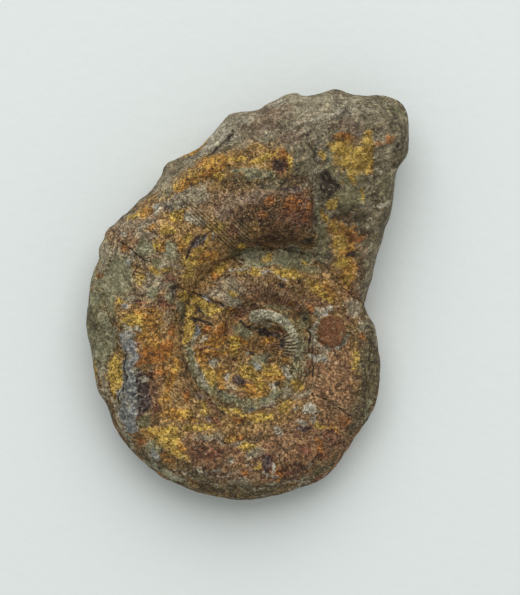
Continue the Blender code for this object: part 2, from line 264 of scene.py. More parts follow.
def matrix_height(x, y):
    """A weighted mean of the spot heights; each weight is a bell curve over the distance to its spot.

    A tiny weight is added to each, so that their sum isn't 0 far from all of them.
    """
    spots = np.array(MATRIX_SPOTS)
    far = (x[..., None] - spots[:, 0]) ** 2 + (y[..., None] - spots[:, 1]) ** 2
    say = np.exp(-far / (2 * SPOT_REACH**2)) + 1e-9
    return (say * spots[:, 2]).sum(axis=-1) / say.sum(axis=-1)


def matrix_share(x, y):
    """1 on the matrix and 0 on the shell: past the mouth, and outside the body chamber's covered flank."""
    turn, across = coil_place(x, y)
    wander = rough(x, y, size=3.5, octaves=3, seed=30)
    outside = smooth_step(-MATRIX_LAP, 0.0, past_seam(x, y)) * (turn_angle(x, y) > 0.5)
    past_mouth = smooth_step(*MOUTH_X, x + MATRIX_WANDER[0] * wander) * outside
    covered = smooth_step(*MATRIX_EDGE, across + MATRIX_WANDER[1] * wander) * smooth_step(*COVER_TURNS, turn)
    return np.maximum(past_mouth, covered)


seam_x = np.array([COIL_AXIS[0] + SEAM_RADIUS, COIL_AXIS[0] - SEAM_RADIUS * WHORL_RATE**0.5])
print("seam height right and left, mm:", shell_height(seam_x, np.full(2, COIL_AXIS[1])).round(2))

# %% [markdown]
# ## Breaks, cracks and bumps
# The stone has been crushed, split and worn. Each break is a line of a few points with a width, and each
# bump is a place with a reach. A line's signed distance works for both kinds of break: its size cuts a
# groove, and its sign lifts one side above the other.

# %% Where the stone is cracked, stepped and dented, in mm
CRACKS = (
    # points, depth, half width
    (((-25.6, 10.7), (-24.4, 9.9), (-22.6, 8.4), (-21.4, 7.4), (-20.2, 6.6), (-18.5, 5.8)), 0.40, 0.28),
    (((-14.2, 1.6), (-12.3, 0.8), (-10.3, 0.2), (-8.9, -0.4), (-7.5, -0.9), (-6.3, -1.7),
      (-5.1, -2.1), (-3.5, -3.1), (-2.1, -4.3), (-1.0, -5.2)), 0.40, 0.24),
    (((12.9, -19.5), (14.5, -20.7), (16.5, -21.5), (18.1, -22.9), (19.7, -23.9), (21.4, -24.6)), 0.35, 0.24),
    (((-22.7, 3.6), (-22.1, 4.6), (-21.4, 5.4)), 0.30, 0.25),
    (((-7.9, 27.6), (-5.8, 28.4), (-4.6, 29.8), (-3.6, 30.8), (-2.9, 31.8), (-2.7, 32.8)), 0.75, 0.38),
    (((-11.4, -4.8), (-9.0, -5.3), (-7.0, -6.1)), 0.35, 0.35),
    (((16.6, 3.6), (19.3, 1.2), (21.6, -0.9), (23.6, -2.6)), 0.45, 0.40),
    (((-24.0, -11.6), (-24.2, -13.2), (-24.4, -14.6), (-24.2, -16.0), (-23.6, -17.1),
      (-24.5, -18.5), (-25.1, -20.2), (-25.4, -21.8), (-25.2, -24.0)), 0.25, 0.25),
)
HOLLOWS = (
    # points along the bottom, depth, half width
    (((13.4, 9.5), (13.8, 14.0), (13.0, 20.0), (13.6, 26.0), (12.8, 29.5)), 0.3, 0.7),
    (((-9.0, 21.4), (-4.0, 22.8), (2.0, 22.3), (7.0, 22.6), (12.0, 21.8)), 0.4, 1.3),
    (((-2.0, 8.6), (3.0, 8.2), (8.0, 8.6), (12.5, 8.4)), 0.2, 1.8),
)
STEPS = (
    # points, how far the left side stands above the right, width of the step, reach of its effect
    (((-26.6, 0.5), (-27.0, -3.2), (-26.0, -5.6), (-25.2, -8.2), (-24.4, -10.4), (-23.8, -12.3),
      (-24.0, -14.4), (-23.5, -16.8), (-24.6, -18.6), (-25.2, -21.0), (-24.6, -25.0)), 1.3, 0.35, 3.5),
    (((-4.9, 28.2), (-4.8, 25.5), (-4.6, 23.0)), -0.6, 0.30, 2.5),
    (((-22.0, 9.1), (-21.2, 10.9), (-20.0, 11.9), (-18.6, 12.4), (-17.0, 12.7)), 0.7, 0.30, 2.2),
    (((0.0, 5.4), (3.0, 5.0), (6.0, 6.1), (9.0, 7.2), (11.5, 5.9)), -0.5, 0.4, 2.0),
    (((-10.2, 8.0), (-9.9, 9.4), (-8.4, 10.9), (-7.4, 12.2)), -0.6, 0.35, 1.8),
    (((25.4, 16.9), (27.0, 17.9), (28.6, 18.6), (30.0, 19.6)), -0.7, 0.3, 2.4),
    (((11.0, 33.2), (14.0, 34.3), (17.0, 35.2), (20.0, 36.8), (22.0, 37.0)), 0.6, 0.3, 2.2),
)
# A broken facet: past the line through x, y the surface falls at this slope in this direction.
FACETS = (
    # x, y, direction in degrees, slope
    (10.0, 35.2, 88.0, 0.50), (-4.3, 30.0, 141.0, 0.55), (27.5, 34.5, 40.0, 0.60),
)
BUMPS = (
    # x, y, reach, rise
    (-10.5, 24.5, 2.6, 0.7), (-5.5, 28.0, 2.2, 0.6), (16.1, 22.0, 1.7, -1.6), (4.0, 22.4, 2.6, -0.8),
    (-3.0, 22.0, 3.0, -0.7), (12.5, 7.6, 3.6, -1.2), (20.5, 27.5, 3.0, 0.7), (19.3, 7.5, 2.6, 0.6),
    (-6.0, 6.5, 2.6, 0.9), (-10.5, 9.4, 2.0, -0.8), (-28.5, -2.0, 3.2, -1.5), (-28.0, -10.0, 3.2, -1.7),
    (-26.8, -17.5, 3.0, -1.4), (-24.0, -27.0, 2.6, -0.7), (-21.5, -13.5, 2.4, 0.6), (12.5, -23.0, 2.2, 0.6),
    (-1.0, -34.0, 3.6, 0.5), (-14.0, -29.0, 2.8, 0.5), (21.0, -19.0, 2.6, 0.5), (-25.0, 10.0, 3.0, -0.7),
    (-19.5, 13.5, 2.6, 0.6), (-18.0, 6.0, 3.0, 0.4), (28.5, 31.5, 2.6, 0.7), (25.5, 17.5, 2.6, -0.7),
    (11.5, 32.0, 2.6, 0.5), (1.5, 30.0, 2.6, -0.6), (-0.9, -7.5, 1.9, 1.0), (3.5, -7.9, 1.2, -1.0),
    (2.0, -12.2, 2.4, -0.9), (6.6, -9.8, 1.0, -0.6), (3.8, -33.5, 1.6, -0.5), (6.5, 25.2, 1.5, -0.5),
    (21.5, 7.8, 1.1, -0.6), (-15.2, 1.2, 1.4, -0.6), (-16.2, -32.3, 0.9, -0.5), (-20.6, -17.0, 1.6, -0.5),
)
DISC = (17.0, -7.7, 2.9)          # the smooth round scar on the right flank: x, y, radius
LUMP = (-0.9, -7.5, 3.6)          # the smooth lump beside the umbilicus: x, y, the square of its reach
CREST_TURN = 1.43                 # the inner whorl's worn crest is a spiral, this many turns inside the seam
CREST_HALF_WIDTHS = (1.15, 0.70)  # half its width where it starts and ends
CREST_ANGLES = (0.695, 1.03)      # and the stretch, in turns, over which it shows
COMB = (6.2, 1.3, 1.0, 0.075)     # its comb of ribs: radius, half length in mm; middle, half width in turns
BAND = (1.2, 1.25)                # the umbilicus's wall: how far inside the seam its middle is, half width
BAND_RIGHT = (0.9, 0.35)          # and how much more of both on the right side
BAND_ENDS = ((0.56, 0.46), (-0.20, -0.12))      # in turns: where it fades out at either end

# %% [markdown]
# ## Where the iron minerals lie
# The fossil is ironstone that weathered unevenly. Yellow limonite and orange goethite and rust sit on it as
# thin crusts, haematite colours the shell dark red-brown and purple, ochre, sienna, umber, tan and mauve
# earth dull the rest, grey-green clay and olive grime fill its hollows, a slate-grey film and pale rock show
# on the flanks, calcite where the surface chipped, and a few pits hold black manganese oxide. The umber and
# grime stains also carry painted shade: umber on the tube's underside and along the seam, grime on the rims
# that face away from the light and under ledges. They could be left to chance with noise, but their places
# give this stone its face, so each stain is laid one by one as soft ovals and strokes. The noise comes
# afterwards, inside the material, and only breaks up their edges. Two more fields, ribbed and striped, say
# where the shell's own sculpture shows.

# %% Stains
# An oval is x, y, half length and half width in mm, heading in degrees, and a strength where it isn't 1.
# A stroke is the points of its line and its half width.
STAINS = {
    "rock": (
        (12, 25.6, 2.4, 4.2, 0, 1.3), (9.5, 30.5, 5, 2.2, 10), (-1, 30, 4, 1.2, 30, 0.8),
        (11, 22.8, 2.6, 0.8, -8, 0.8),
    ),
    "tan": (
        (-4.5, 15.9, 2.4, 1, 10, 1.3), (14, -14, 3, 5, 10), (11, -28, 7, 3, 20), (-19, 14, 6, 4, 35),
        (-8, 17.2, 6, 1.8, 28), (7, -0.8, 7, 2, -12), (17, 1.5, 4.5, 3, -35, 1.2), (1.5, 4.5, 4, 1.6, 0),
        (-17.5, 2, 5, 3, 10, 1.2), (-4, 0.8, 4, 2.4, 10, 1.2), (-13.5, -19, 2, 2.6, 0),
        (-9, -29, 5, 1.6, -10), (-24.5, 12, 2, 2.5, -40), (11, -20.4, 2.4, 0.9, 28, 1.2),
        (20, -23, 3, 3.6, -30), (-15, 6, 4, 1.2, -10, 1.1), (22.5, 9, 1.6, 3, 0, 0.7),
    ),
    "mauve": (
        (4.5, 34.4, 5.5, 3.0, 20, 0.9), (9, 31.5, 3.5, 2, 20), (20.5, 33, 3.4, 1.4, -10, 0.9),
        (8, 20.6, 4, 0.9, -8, 0.9), (1, 19, 5, 1.4, 5, 0.9), (-3, 16.5, 4, 2, 20, 0.8),
        (-20, 14.2, 2.6, 0.9, 10, 1.1), (-23.8, 14.6, 1.6, 1.2, 40), (-14.5, 18.4, 2.4, 1.4, 30),
        (-19, 11.6, 1.6, 0.8, 20), (-3.6, -1.3, 2, 0.9, -10), (-9.3, 9.9, 0.65, 1.6, -42, 1.3),
        (-9.2, -20.6, 1.4, 0.9, -10, 1.1), (-14.5, -25.8, 2.6, 0.7, -5, 0.9),
        (14.8, -13.2, 1.8, 1.6, 0, 0.8), (-16.5, -4.6, 2, 1.8, 0, 0.9), (-10.4, -9.4, 0.6, 1.4, 0),
        (4.2, -22.4, 1.4, 0.8, 0), (-3, -18.6, 0.9, 1.4, 0), (5.1, -18.4, 1.2, 0.8, 0),
        (-7.5, -14.3, 1.1, 0.8, 0), (7.4, -15.2, 0.9, 0.9, 0), (-18.2, -29.4, 1.6, 1, 0, 0.9),
        (-8, -28.6, 3.4, 1.2, 0), (3.2, -27, 1.4, 0.8, 0, 0.9), (-2, -36, 6, 1.6, 0, 0.8),
    ),
    "umber_and_shade": (
        # dark brown of the tube and the foot, and painted shade: the tube's underside, the seam at x -12.9
        # and the shadow at (-8.2, 3.3)
        (10.9, 22.6, 1.6, 0.9, 0, 1.2), (5, 14.5, 7, 3.6, 0, 1.25), (4.6, 11.2, 6.2, 1.6, 5, 1.2),
        (7, 18, 4.5, 1.8, 0), (0.6, 15, 4, 3, 10, 0.8), (-7.5, -32, 5, 2.6, -10, 1.1),
        (2, -31.5, 4, 2.2, 0, 0.9), (-8.2, 3.3, 2.0, 0.7, 30), (-5, -24, 4, 0.9, -35, 0.8),
        (12, -27.2, 2.2, 1, 20), (-18.6, -19.5, 1.3, 4.2, 0, 1.1), (-12.9, -12, 0.45, 7, 4),
        (-14.9, -8.6, 1.6, 2.4, 0, 1.4), (16.8, -28.4, 2.2, 1.6, -40, 1.3),
        (-6.9, -5.0, 1.4, 0.9, -20, 1.1), (-12.2, -20.2, 1.2, 0.8, -35, 0.8), (22.5, 4.5, 1.2, 3, 0),
        (20, 15.4, 3.4, 1.1, 5, 1.1), (23, 12, 1.5, 1.5, 0), (-8, -10.2, 2.2, 0.6, 0),
        (2, -9.9, 2.2, 0.9, 0, 0.8), (-5.0, 8.6, 1.4, 1.1, -10, 0.8), (6, -29, 2.6, 1.2, 0, 0.8),
    ),
    "ochre": (
        (-6, 12.4, 3.2, 1.6, 0, 1.3), (-14.5, 6.8, 1.5, 1, 0, 1.3), (-4, 10.4, 1.8, 1.2, 0, 1.3),
        (0.7, 12.6, 1.6, 1.2, 0, 1.1), (-17.5, -8.5, 6, 6, 0, 1.3), (-21.3, -5, 3.6, 2.8, 0, 1.2),
        (-15.2, -18.5, 2.6, 7, 8, 1.2), (-12, -25, 7, 3.6, -12, 1.3), (-17.8, -28, 3.2, 2.2, 0, 1.2),
        (-13.6, -31, 2.4, 1.4, -20), (-7, 7.6, 3.4, 3.4, 20, 1.3), (-7.3, 13.4, 2.4, 1.4, -45, 1.2),
        (-10.4, 3.6, 4, 3.0, 35, 1.2), (2, -26, 9, 2.4, 5, 1.1), (11, 3.5, 6, 2, -20, 1.1),
        (-13.6, 13, 3.6, 4, 20), (19, 8, 2.5, 5.5, 0, 1.1), (-3.5, -11.5, 7.5, 8, 0, 0.95),
        (3, -16, 5, 3.2, 0, 1.1), (-6, 25, 6.5, 2.4, 25, 1.2), (8.5, -21.8, 3.2, 1.7, 45, 1.1),
        (21, -14, 1.6, 5, 0), (-18.5, 18.5, 4.5, 1.8, 40, 0.85), (-20.8, 15.8, 2.4, 1.1, 40, 1.1),
        (1.8, 7.2, 4, 0.9, 5), (17.5, -26.5, 3.4, 1.5, -30), (20.8, 27.6, 3.2, 3.8, -10, 0.9),
        (16.5, 1.2, 4, 2, -38, 1.1), (-12.5, 8.5, 1.2, 2.4, 0, 1.1), (2.5, 25.2, 4.5, 1.3, -5, 1.1),
        (-22, 2.6, 1.2, 1.8, 0, 0.9), (4, 28.3, 4, 1.6, -10),
    ),
    "sienna": (
        (16.5, -16, 5, 7.5, 10, 1.25), (10, -29, 8, 4, 20, 1.15), (-8, -31.5, 6, 3, -10, 1.2),
        (2, -32, 5, 3, 0, 1.15), (14, -31, 3, 4, -40, 1.1), (7, -0.8, 6.5, 2.2, -14, 1.1),
        (15.5, -1.5, 3, 1.4, -40), (-16.5, -2.5, 2.4, 1.4, 0), (10, 17, 2.6, 4, 0, 0.9),
        (-18.6, -20, 1.6, 5, 0, 1.1), (20.5, -24, 2.6, 3.6, -30), (-1, -4, 2.4, 1.2, 0),
        (1.1, -18.4, 1.6, 1.5, 0, 1.1), (-8.5, -11, 2, 1.2, 0), (-3.9, -7.2, 1.5, 1.4, 0),
        (21, -1, 1.6, 5, 20), (17.5, -27, 4, 2, -40, 1.1), (-22, 11.5, 2.6, 2, -40, 0.8),
        (4.5, -10, 3, 1.6, 0, 0.8), (-1.4, -20.4, 1.2, 0.8, 0), (4, -36.5, 7, 1.6, 5),
    ),
    "pale_rock": (
        (-9.6, 14.4, 1.2, 0.8, -45, 1.1), (-9.1, 18.7, 1.4, 0.9, 30, 1.1),
        (-22.7, 16.1, 1.2, 0.7, 40, 1.1), (11.4, -11.9, 0.7, 1.2, 0), (21.5, -2.8, 1.2, 2, 20, 1.1),
        (16, 34.5, 2, 0.9, 10, 1.2), (4.1, 31, 2, 1, 15, 1.2), (-25.7, -26.5, 0.7, 1.2, 40, 1.1),
        (-1.3, -37.6, 2, 0.8, 0, 1.1), (-24.2, -29.2, 1.0, 2.0, 40, 1.2),
        (-16.6, 22.4, 1.1, 1.6, -40, 1.3), (19.9, 36.2, 2.6, 1.1, 15, 1.3),
        (-23.3, 7.6, 1.5, 1.2, -30, 1.1), (-9.7, 27.7, 2.0, 1.0, 35, 1.3),
        (-15.8, 20.0, 2.2, 1.0, 38, 1.1), (-6.3, 29.4, 1.6, 1.1, 45, 1.3),
        (-18.6, -34.3, 1.8, 0.9, -35, 1.2), (13.7, -8.4, 0.7, 2.2, 0, 1.2),
        (-22.8, -0.9, 1.5, 0.9, 0, 1.1), (0.5, 7.6, 2, 0.9, 0, 1.1), (10.7, -10.6, 1, 1.8, 0),
        (15.5, -10.9, 1.6, 0.8, -20, 1.1), (1.6, -31.7, 1.8, 1.0, 0), (12.5, 33.2, 2.2, 1.0, 15, 1.1),
        (9.1, 9.1, 1.6, 0.9, 0, 1.1), (-22.1, -14.8, 0.8, 1.4, 0, 1.1), (23.7, -6.6, 1.0, 2.0, -15, 1.1),
        (-28.7, 6.7, 1.2, 2.4, -15, 1.25), (-3.7, 31.3, 1.6, 1.4, 50, 1.3),
        (-11.2, 19.6, 3.6, 1.3, 33, 1.1), (-1.3, 34.7, 2.6, 1.2, 20, 1.35),
        (-2.7, -1.6, 1.8, 1.1, -10, 1.2), (2.9, -5.7, 1.6, 0.7, -20, 1.3),
        (-26.9, 8.6, 1.6, 1.6, -30, 1.1), (-26.1, -22.8, 0.8, 2.2, 20, 1.2),
        (-29.2, -16.6, 0.8, 2.4, 12, 1.3), (14.1, -3.3, 1.3, 1.1, 0, 1.1),
        (8.9, -19.3, 1.8, 1.0, 38, 1.2), (8.5, -9.8, 0.9, 1.6, 0, 1.2), (-13.5, 17.3, 2, 1, 30, 1.1),
        (-28.5, -18.6, 0.8, 2.6, 20, 1.2), (16, 38.2, 7, 1.8, -5, 1.15), (12.5, 36, 5, 1.2, 10),
        (8, 33, 2.6, 1.4, 20, 0.7), (0.5, 35, 2.5, 0.8, 20, 0.7), (-6, 31.5, 3, 1.2, 50, 0.8),
        (14.8, -12.6, 1.5, 0.9, 0, 1.1), (28, 25, 1.5, 3, 0, 0.6), (24, 36.4, 3, 0.8, -10, 0.7),
        (-17.6, 16.4, 1, 1, 0, 0.8), (-7.2, -13.9, 1.5, 0.8, 0), (-8, -8.8, 1.2, 0.8, 0, 0.6),
        (7.6, -15.4, 1.4, 0.8, 0, 1.1), (5.2, -18.6, 1.4, 0.8, 0, 0.9), (-3, -18.6, 0.8, 1.3, 0, 0.5),
        (4.2, -22.3, 1.6, 0.7, 0, 0.9), (1.8, -20.4, 1.2, 0.5, 40, 0.8), (-10.2, -8.6, 0.6, 1.6, 0, 0.9),
        (-5.5, -19.6, 1, 0.6, -40, 0.8), (-18, 2.5, 4, 2.4, 10, 0.75), (-20.5, 12.5, 2.4, 1.4, 30, 0.7),
        (-15.5, 7.5, 2.4, 2.4, 0, 0.6), (-20.5, 8, 2, 2.4, 0, 0.6), (-15.5, 17.5, 2.6, 1.1, 30, 0.8),
        (-4, 1, 3.6, 2, 10, 0.7), (-16, 5.6, 3, 0.8, -10, 0.8), (-23, 13.5, 2, 2.2, -40, 0.6),
        (-11.5, 15.8, 0.9, 1.2, -45, 0.8), (-16.4, -5, 1.6, 1.6, 0, 0.6), (9.6, -11.4, 0.8, 1.4, 0, 0.6),
        (11, -20.2, 2, 0.7, 28, 0.8), (-8, -28.4, 3, 0.9, 0, 0.7), (-1, -29.6, 2.4, 0.8, 0, 0.6),
    ),
    "haematite": (
        (8.1, -36.6, 1.8, 0.9, 15, 1.2), (12.1, -31.4, 1.6, 1.2, -40, 0.9),
        (20.7, -4.6, 0.9, 1.3, 0, 0.7), (5.4, -35, 1.2, 0.8, 0, 0.9), (16.8, -28.6, 1.8, 1.4, -40, 1.1),
        (6.4, 25.1, 1.6, 1.2, 20, 1.1), (-22.1, -10.3, 0.8, 0.9, -40, 1.1),
        (-20.8, -1.6, 1.5, 0.6, -25, 1.1), (-17.2, -2.3, 1.8, 0.6, 10, 1.1),
        (-15.1, 2.9, 1.4, 0.7, -10, 1.1), (-16.2, -32.2, 0.8, 0.8, 0), (6.2, -7.9, 1, 0.7, 0, 1.2),
        (-4.1, -7, 0.9, 1.1, 0, 1.2), (-1, -3.6, 1.2, 0.8, -20, 1.1), (1.2, -2.5, 0.9, 0.5, 0, 1.2),
        (12.3, -3.5, 0.7, 0.8, 0, 1.1), (-6.8, -22.6, 1.7, 0.6, -45, 1.1),
        (-6.3, -25.4, 1.6, 0.7, -40, 1.1), (-17.9, -22.6, 1.5, 0.8, 0, 1.2), (-2.8, 12.4, 0.9, 1.4, -10),
        (9.4, 16.8, 2.6, 3.4, 0, 0.95), (12, 16, 1.1, 3.4, 0, 1.2), (1.1, -18.7, 0.9, 1.2, 0),
        (-9.3, -11.6, 0.8, 0.8, 0, 1.1), (-3.5, -10.3, 0.6, 0.5, 0, 1.1), (-2.6, -13.4, 0.8, 0.5, 0),
        (-20.8, -13.6, 1, 0.5, 0), (7, -1.2, 5, 1.2, -14, 0.6), (-22, -23.6, 1.6, 0.6, 0),
        (8, -35.5, 4, 1.6, 15), (-8, -31.6, 3.4, 1.6, 0, 0.8), (-19, -16.2, 1.6, 0.7, 0, 0.9),
        (15, -31.5, 1.6, 2, 0, 0.7), (3.7, -33.4, 1.8, 1.9, 0, 1.3), (-0.8, -20.8, 0.8, 0.5, 0),
    ),
    "purple": (
        # (4.6, 21.0) and (8.2, 20.8) are painted shadow under the ledge at y 21.5
        (-22.6, -23.3, 0.6, 0.8, 0, 0.8), (4.6, 21.0, 2.4, 0.6, -6, 0.9),
        (-21.0, -19.8, 1.6, 3.8, 3, 1.4), (-21.4, -16.3, 0.9, 1.2, 0, 1.2), (-7.8, -24.8, 0.7, 0.5, -40),
        (8.2, 20.8, 3, 0.6, -8, 0.9), (12.2, 31.5, 1.4, 0.7, 20, 0.6), (-1.4, -17.4, 0.9, 1, -30, 1.2),
        (21.7, 32.2, 1, 0.4, -10, 0.9), (4.5, -8, 1.8, 0.8, -25, 1.1), (-14.7, 0.2, 0.8, 1.6, -15, 0.9),
        (-15.3, 16.9, 1.1, 1, 0), (11.8, -26.8, 1.6, 0.6, 0, 1.1), (-19.2, 15.6, 0.8, 0.6, 0),
        (6.9, -9.7, 0.8, 1, 0, 1.1), (3.8, -33.4, 1.4, 1.5, 0, 1.2), (-9.2, 10.0, 0.75, 1.6, -42, 1.1),
        (-0.4, -2.8, 1.1, 0.4, -20, 0.6),
    ),
    "olive": (
        (-17.9, 6.1, 1.2, 0.8, 0, 0.9), (-0.9, -7.4, 1.6, 1.5, -10, 1.6),
        (-20.2, -25.2, 1.2, 1.2, 0, 1.1), (-18.3, -29.7, 1.5, 1, 0, 0.9), (10, 5.6, 5, 1.2, -12),
        (-28.6, -8, 1.2, 6.5, 0, 1.1), (-1.5, 8.2, 2, 0.7, 0), (11.2, -5.6, 1.2, 1.6, 0, 1.1),
        (6.5, -2.7, 3.4, 0.5, -10, 0.9), (15.2, 11, 1.2, 3.4, 0, 0.9), (-19, -14.3, 1.4, 0.7, 0),
        (-20.0, 8.3, 1, 0.9, 0, 0.9), (-13.1, -3.6, 0.6, 2.4, 0), (21, 22.3, 3, 1.2, 0, 1.1),
        (20.5, 19, 2.8, 1.8, 0, 1.1), (17.4, 24.6, 0.9, 1.2, 0), (4.6, -12.7, 1.2, 0.5, 0),
        (-26.8, -2, 0.8, 3, 0), (-30.2, -4, 1.6, 9, 0, 1.0), (30, 36.5, 2.2, 1.4, 0, 0.8),
        (27.5, 21, 1.4, 3, 0, 0.7), (-12.9, -24.2, 0.6, 0.4, 0, 0.6),
    ),
    "clay": (
        (-27.1, -10.7, 0.8, 1.4, 0), (9.6, -18.5, 1.2, 0.8, 40, 0.8), (-1.9, 22.8, 2, 0.6, 0, 1.3),
        (-15.1, -37, 2, 0.8, -30, 1.1), (-1.8, 22.8, 1.6, 0.7, 0, 1.1), (-18.5, -34.4, 1.6, 0.8, -38),
        (10, 8.5, 1.4, 0.7, 0, 0.9), (23.9, -23.8, 0.8, 1.8, -25), (0.2, -7.4, 1, 0.8, 0, 0.9),
        (13.9, -37.2, 1.6, 0.8, 35, 1.1), (10.7, -10.6, 0.8, 1.4, 0), (-21.3, -32.6, 1.2, 0.7, -38, 1.1),
        (1.7, 8.1, 2.6, 1.1, 0, 1.3), (-30.4, 1, 0.9, 2.6, 0), (-26.9, -7.8, 0.9, 1.8, 0, 1.1),
        (-25.2, 3.8, 2.4, 3.8, 0, 1.2), (-27.4, 2, 1.6, 4, 0, 0.8), (-19.8, 9.4, 1.7, 1.9, 0, 0.9),
        (-15.3, 8.5, 1.7, 2, 0, 0.9), (-28.2, -5.5, 1.2, 4, 0, 0.6), (-28.6, -12, 1.2, 4.5, 8, 0.8),
        (1, 23.6, 3.6, 0.9, -6, 1.2), (-18.3, 0.2, 1.2, 1, 0, 1.1), (-15.1, -0.4, 0.9, 1.4, 0, 0.8),
        (2.6, -13.5, 1.7, 1.6, -30, 1.4), (-3.4, -20.9, 2, 1.1, -25, 0.8), (0.8, -22.4, 2.2, 0.9, 0, 0.9),
        (4.8, -20.6, 2.2, 1.4, 35, 0.9), (2.5, 6.6, 3.5, 1.2, 0), (8, 7.2, 3.4, 1.3, 0, 1.1),
        (12.5, 7.4, 1.5, 1.5, 0), (16.7, 26.6, 0.6, 1.6, 0, 0.7), (14, 16, 0.6, 2.4, 0, 0.8),
        (10.8, -14.5, 1.1, 4.2, 0, 0.45), (-10.8, -14.2, 0.9, 2.8, 12, 1.1), (-8.8, -18, 0.7, 2, 35, 0.8),
        (-14.6, 22.8, 0.8, 0.4, 30, 0.6), (13.4, -7.4, 0.5, 1.3, -10, 1.1),
        (-13.7, -2.0, 0.5, 1.6, 0, 0.7), (-18.9, -30.8, 1.3, 1.8, 30),
    ),
    "goethite": (
        (-15.8, -32.9, 1.5, 0.8, -30, 0.9), (-3.4, -3.4, 1, 0.7, 0, 0.9), (-3.7, -28.7, 1.2, 0.8, 0, 1.1),
        (9.5, -1.9, 1, 0.7, 0, 0.8), (18.2, 12.8, 1.8, 1.5, 0, 1.3), (19.8, 9.2, 1.5, 3.4, -12, 1.5),
        (20.4, 4.2, 1.3, 2.6, -15, 1.3), (-14.2, -14.6, 0.8, 2, 0, 1.3), (5.3, -15.9, 1.4, 1.1, 0, 1.4),
        (-7.2, 25.2, 3.6, 1.8, 35, 1.1), (-12.5, 21.4, 4, 0.9, 35, 0.8), (-19.4, -4.6, 3, 1.8, 0, 1.2),
        (-18.0, -11.5, 2.8, 2.4, -20, 1.2), (-20, -8.2, 2.2, 1.4, 0, 1.1), (-5.6, 4.6, 1.6, 0.9, 30, 1.3),
        (-5, -16.4, 0.7, 1.4, 0, 1.3), (-18.2, 13.4, 1.4, 0.45, 18, 1.3), (-17.1, 9.6, 0.8, 1, 0, 1.3),
        (7, 27.2, 1.6, 0.9, -25, 1.1), (-14, -23.8, 2.8, 1.1, -10, 1.2), (24.2, 31.4, 0.8, 1, 0, 1.1),
        (24.4, 27.4, 0.6, 3.2, 0, 1.2), (19.2, 30.6, 1.6, 1, 0, 1.1), (-13.6, 15.4, 2, 1.1, 10, 0.8),
        (-7.8, 7.2, 2, 1, 10, 0.9), (-1.6, -9.4, 1.4, 0.9, 0, 1.1), (-6.5, -11.7, 2.8, 0.5, 3, 1.3),
        (-13.5, -30.4, 1.6, 1.3, 0, 1.1), (-18.4, -27.2, 2, 0.8, 0, 1.1), (4.2, -9.7, 1.4, 0.8, 0, 1.1),
        (2, -19, 2.4, 1.4, 0), (15.8, 0.2, 3, 1.3, -38, 1.1), (-10.5, -4.2, 0.9, 1.1, 0, 1.1),
        (-2.1, 22.9, 2, 0.7, 0, 0.8), (-6.4, -9.6, 1.6, 1.1, 0), (-4.4, -6.7, 1, 0.7, 0),
        (-5.4, -8.6, 1.4, 1.6, -30, 1.1), (-8.2, -14.2, 0.9, 0.7, 0), (-12.8, 9.6, 0.7, 1.3, 0),
        (-20.4, 16, 1.8, 0.8, 40), (-15.4, -18.6, 0.9, 3.4, -25), (-4.8, -18.8, 0.9, 0.5, 0),
        (-0.6, -24.9, 1.8, 0.6, 0, 1.2), (7.7, -13.2, 0.6, 0.8, 0), (-9, -12.6, 0.8, 1.6, 0, 0.9),
        (17.5, -27, 1.6, 0.7, -30, 0.8),
    ),
    "rust": (
        (11.9, 17.2, 0.75, 3.4, 0, 0.6), (7.8, 27, 1.2, 0.7, -40), (-6.4, 23.8, 2.4, 0.5, 10, 0.7),
        (19, 31.2, 1.4, 0.6, 0), (28.6, 30.6, 1, 0.8, 0, 0.9), (26.4, 29.4, 1.4, 0.4, 10, 0.9),
        (22.7, 11.2, 1, 0.6, 0, 0.8), (3.2, 15.6, 1.4, 0.9, 0, 0.8), (4.6, 18.2, 1.2, 0.9, 0, 0.7),
        (8.5, 18, 1.8, 1.3, 0, 0.75), (-28.8, 3.6, 0.7, 1, -20, 0.9), (-23.7, 8.5, 1.3, 0.7, -30, 0.9),
        (-19, -12.6, 2.6, 1.8, 0, 1.1), (-16, -10.6, 1.6, 1.2, 0), (-15.1, -7.6, 1, 1.4, 0, 0.8),
        (-17, -16, 1.6, 1.4, 0, 0.8), (-20.5, -29.5, 0.9, 0.9, 0, 1.1), (-8, -6.8, 1.1, 0.7, 0, 1.2),
        (-5.2, -7.4, 1, 1, 0), (-6, -12, 1.4, 0.35, 0), (15.2, -9.9, 0.8, 0.4, -60),
        (12.4, -3.2, 0.7, 0.7, 0, 0.9), (-2.5, -28.5, 1.8, 0.8, 0, 0.8), (-1, -25.1, 1.4, 0.5, 0),
        (0, -35.8, 0.8, 0.8, 0, 0.9), (6.2, -36.2, 1.2, 1.4, 0), (14.8, -31.2, 0.8, 2, 0, 0.8),
        (19.5, -25.6, 1.2, 1, 0, 0.7), (-6.2, 3.9, 1, 0.5, 30, 1.1), (20.4, 11.4, 1.2, 1, 0, 0.8),
        (20.6, 3.4, 0.7, 1.4, -15, 0.6), (-12, -20.2, 0.7, 0.8, 0, 0.9), (23.4, -8.6, 0.8, 1, -30, 0.7),
    ),
    "limonite": (
        (((-10.0, 7.6), (-9.6, 8.4), (-8.6, 8.65), (-8.0, 9.2), (-7.9, 10.0), (-7.5, 10.6)), 0.22),
        (3.6, -14.4, 1, 0.6, 0, 0.9), (-17.9, 9.9, 0.8, 0.8, 0, 0.8), (-15.9, 4.9, 1, 0.6, 0, 0.9),
        (9.8, -18.6, 1.2, 1.0, 40, 1.2), (15.6, -0.6, 2.0, 0.8, -38, 0.9),
        (-10.6, -4.3, 0.7, 0.9, 0, 1.1), (-3.6, -28.7, 1.1, 0.5, 0, 0.8),
        (-7.4, 12.6, 1.2, 0.8, -45, 0.7), (15.8, -0.4, 1.6, 0.7, -38, 0.65),
        (-5.8, 23.2, 1.6, 0.6, 10, 0.7), (-10.7, -3.2, 0.8, 1.8, 0, 1.1),
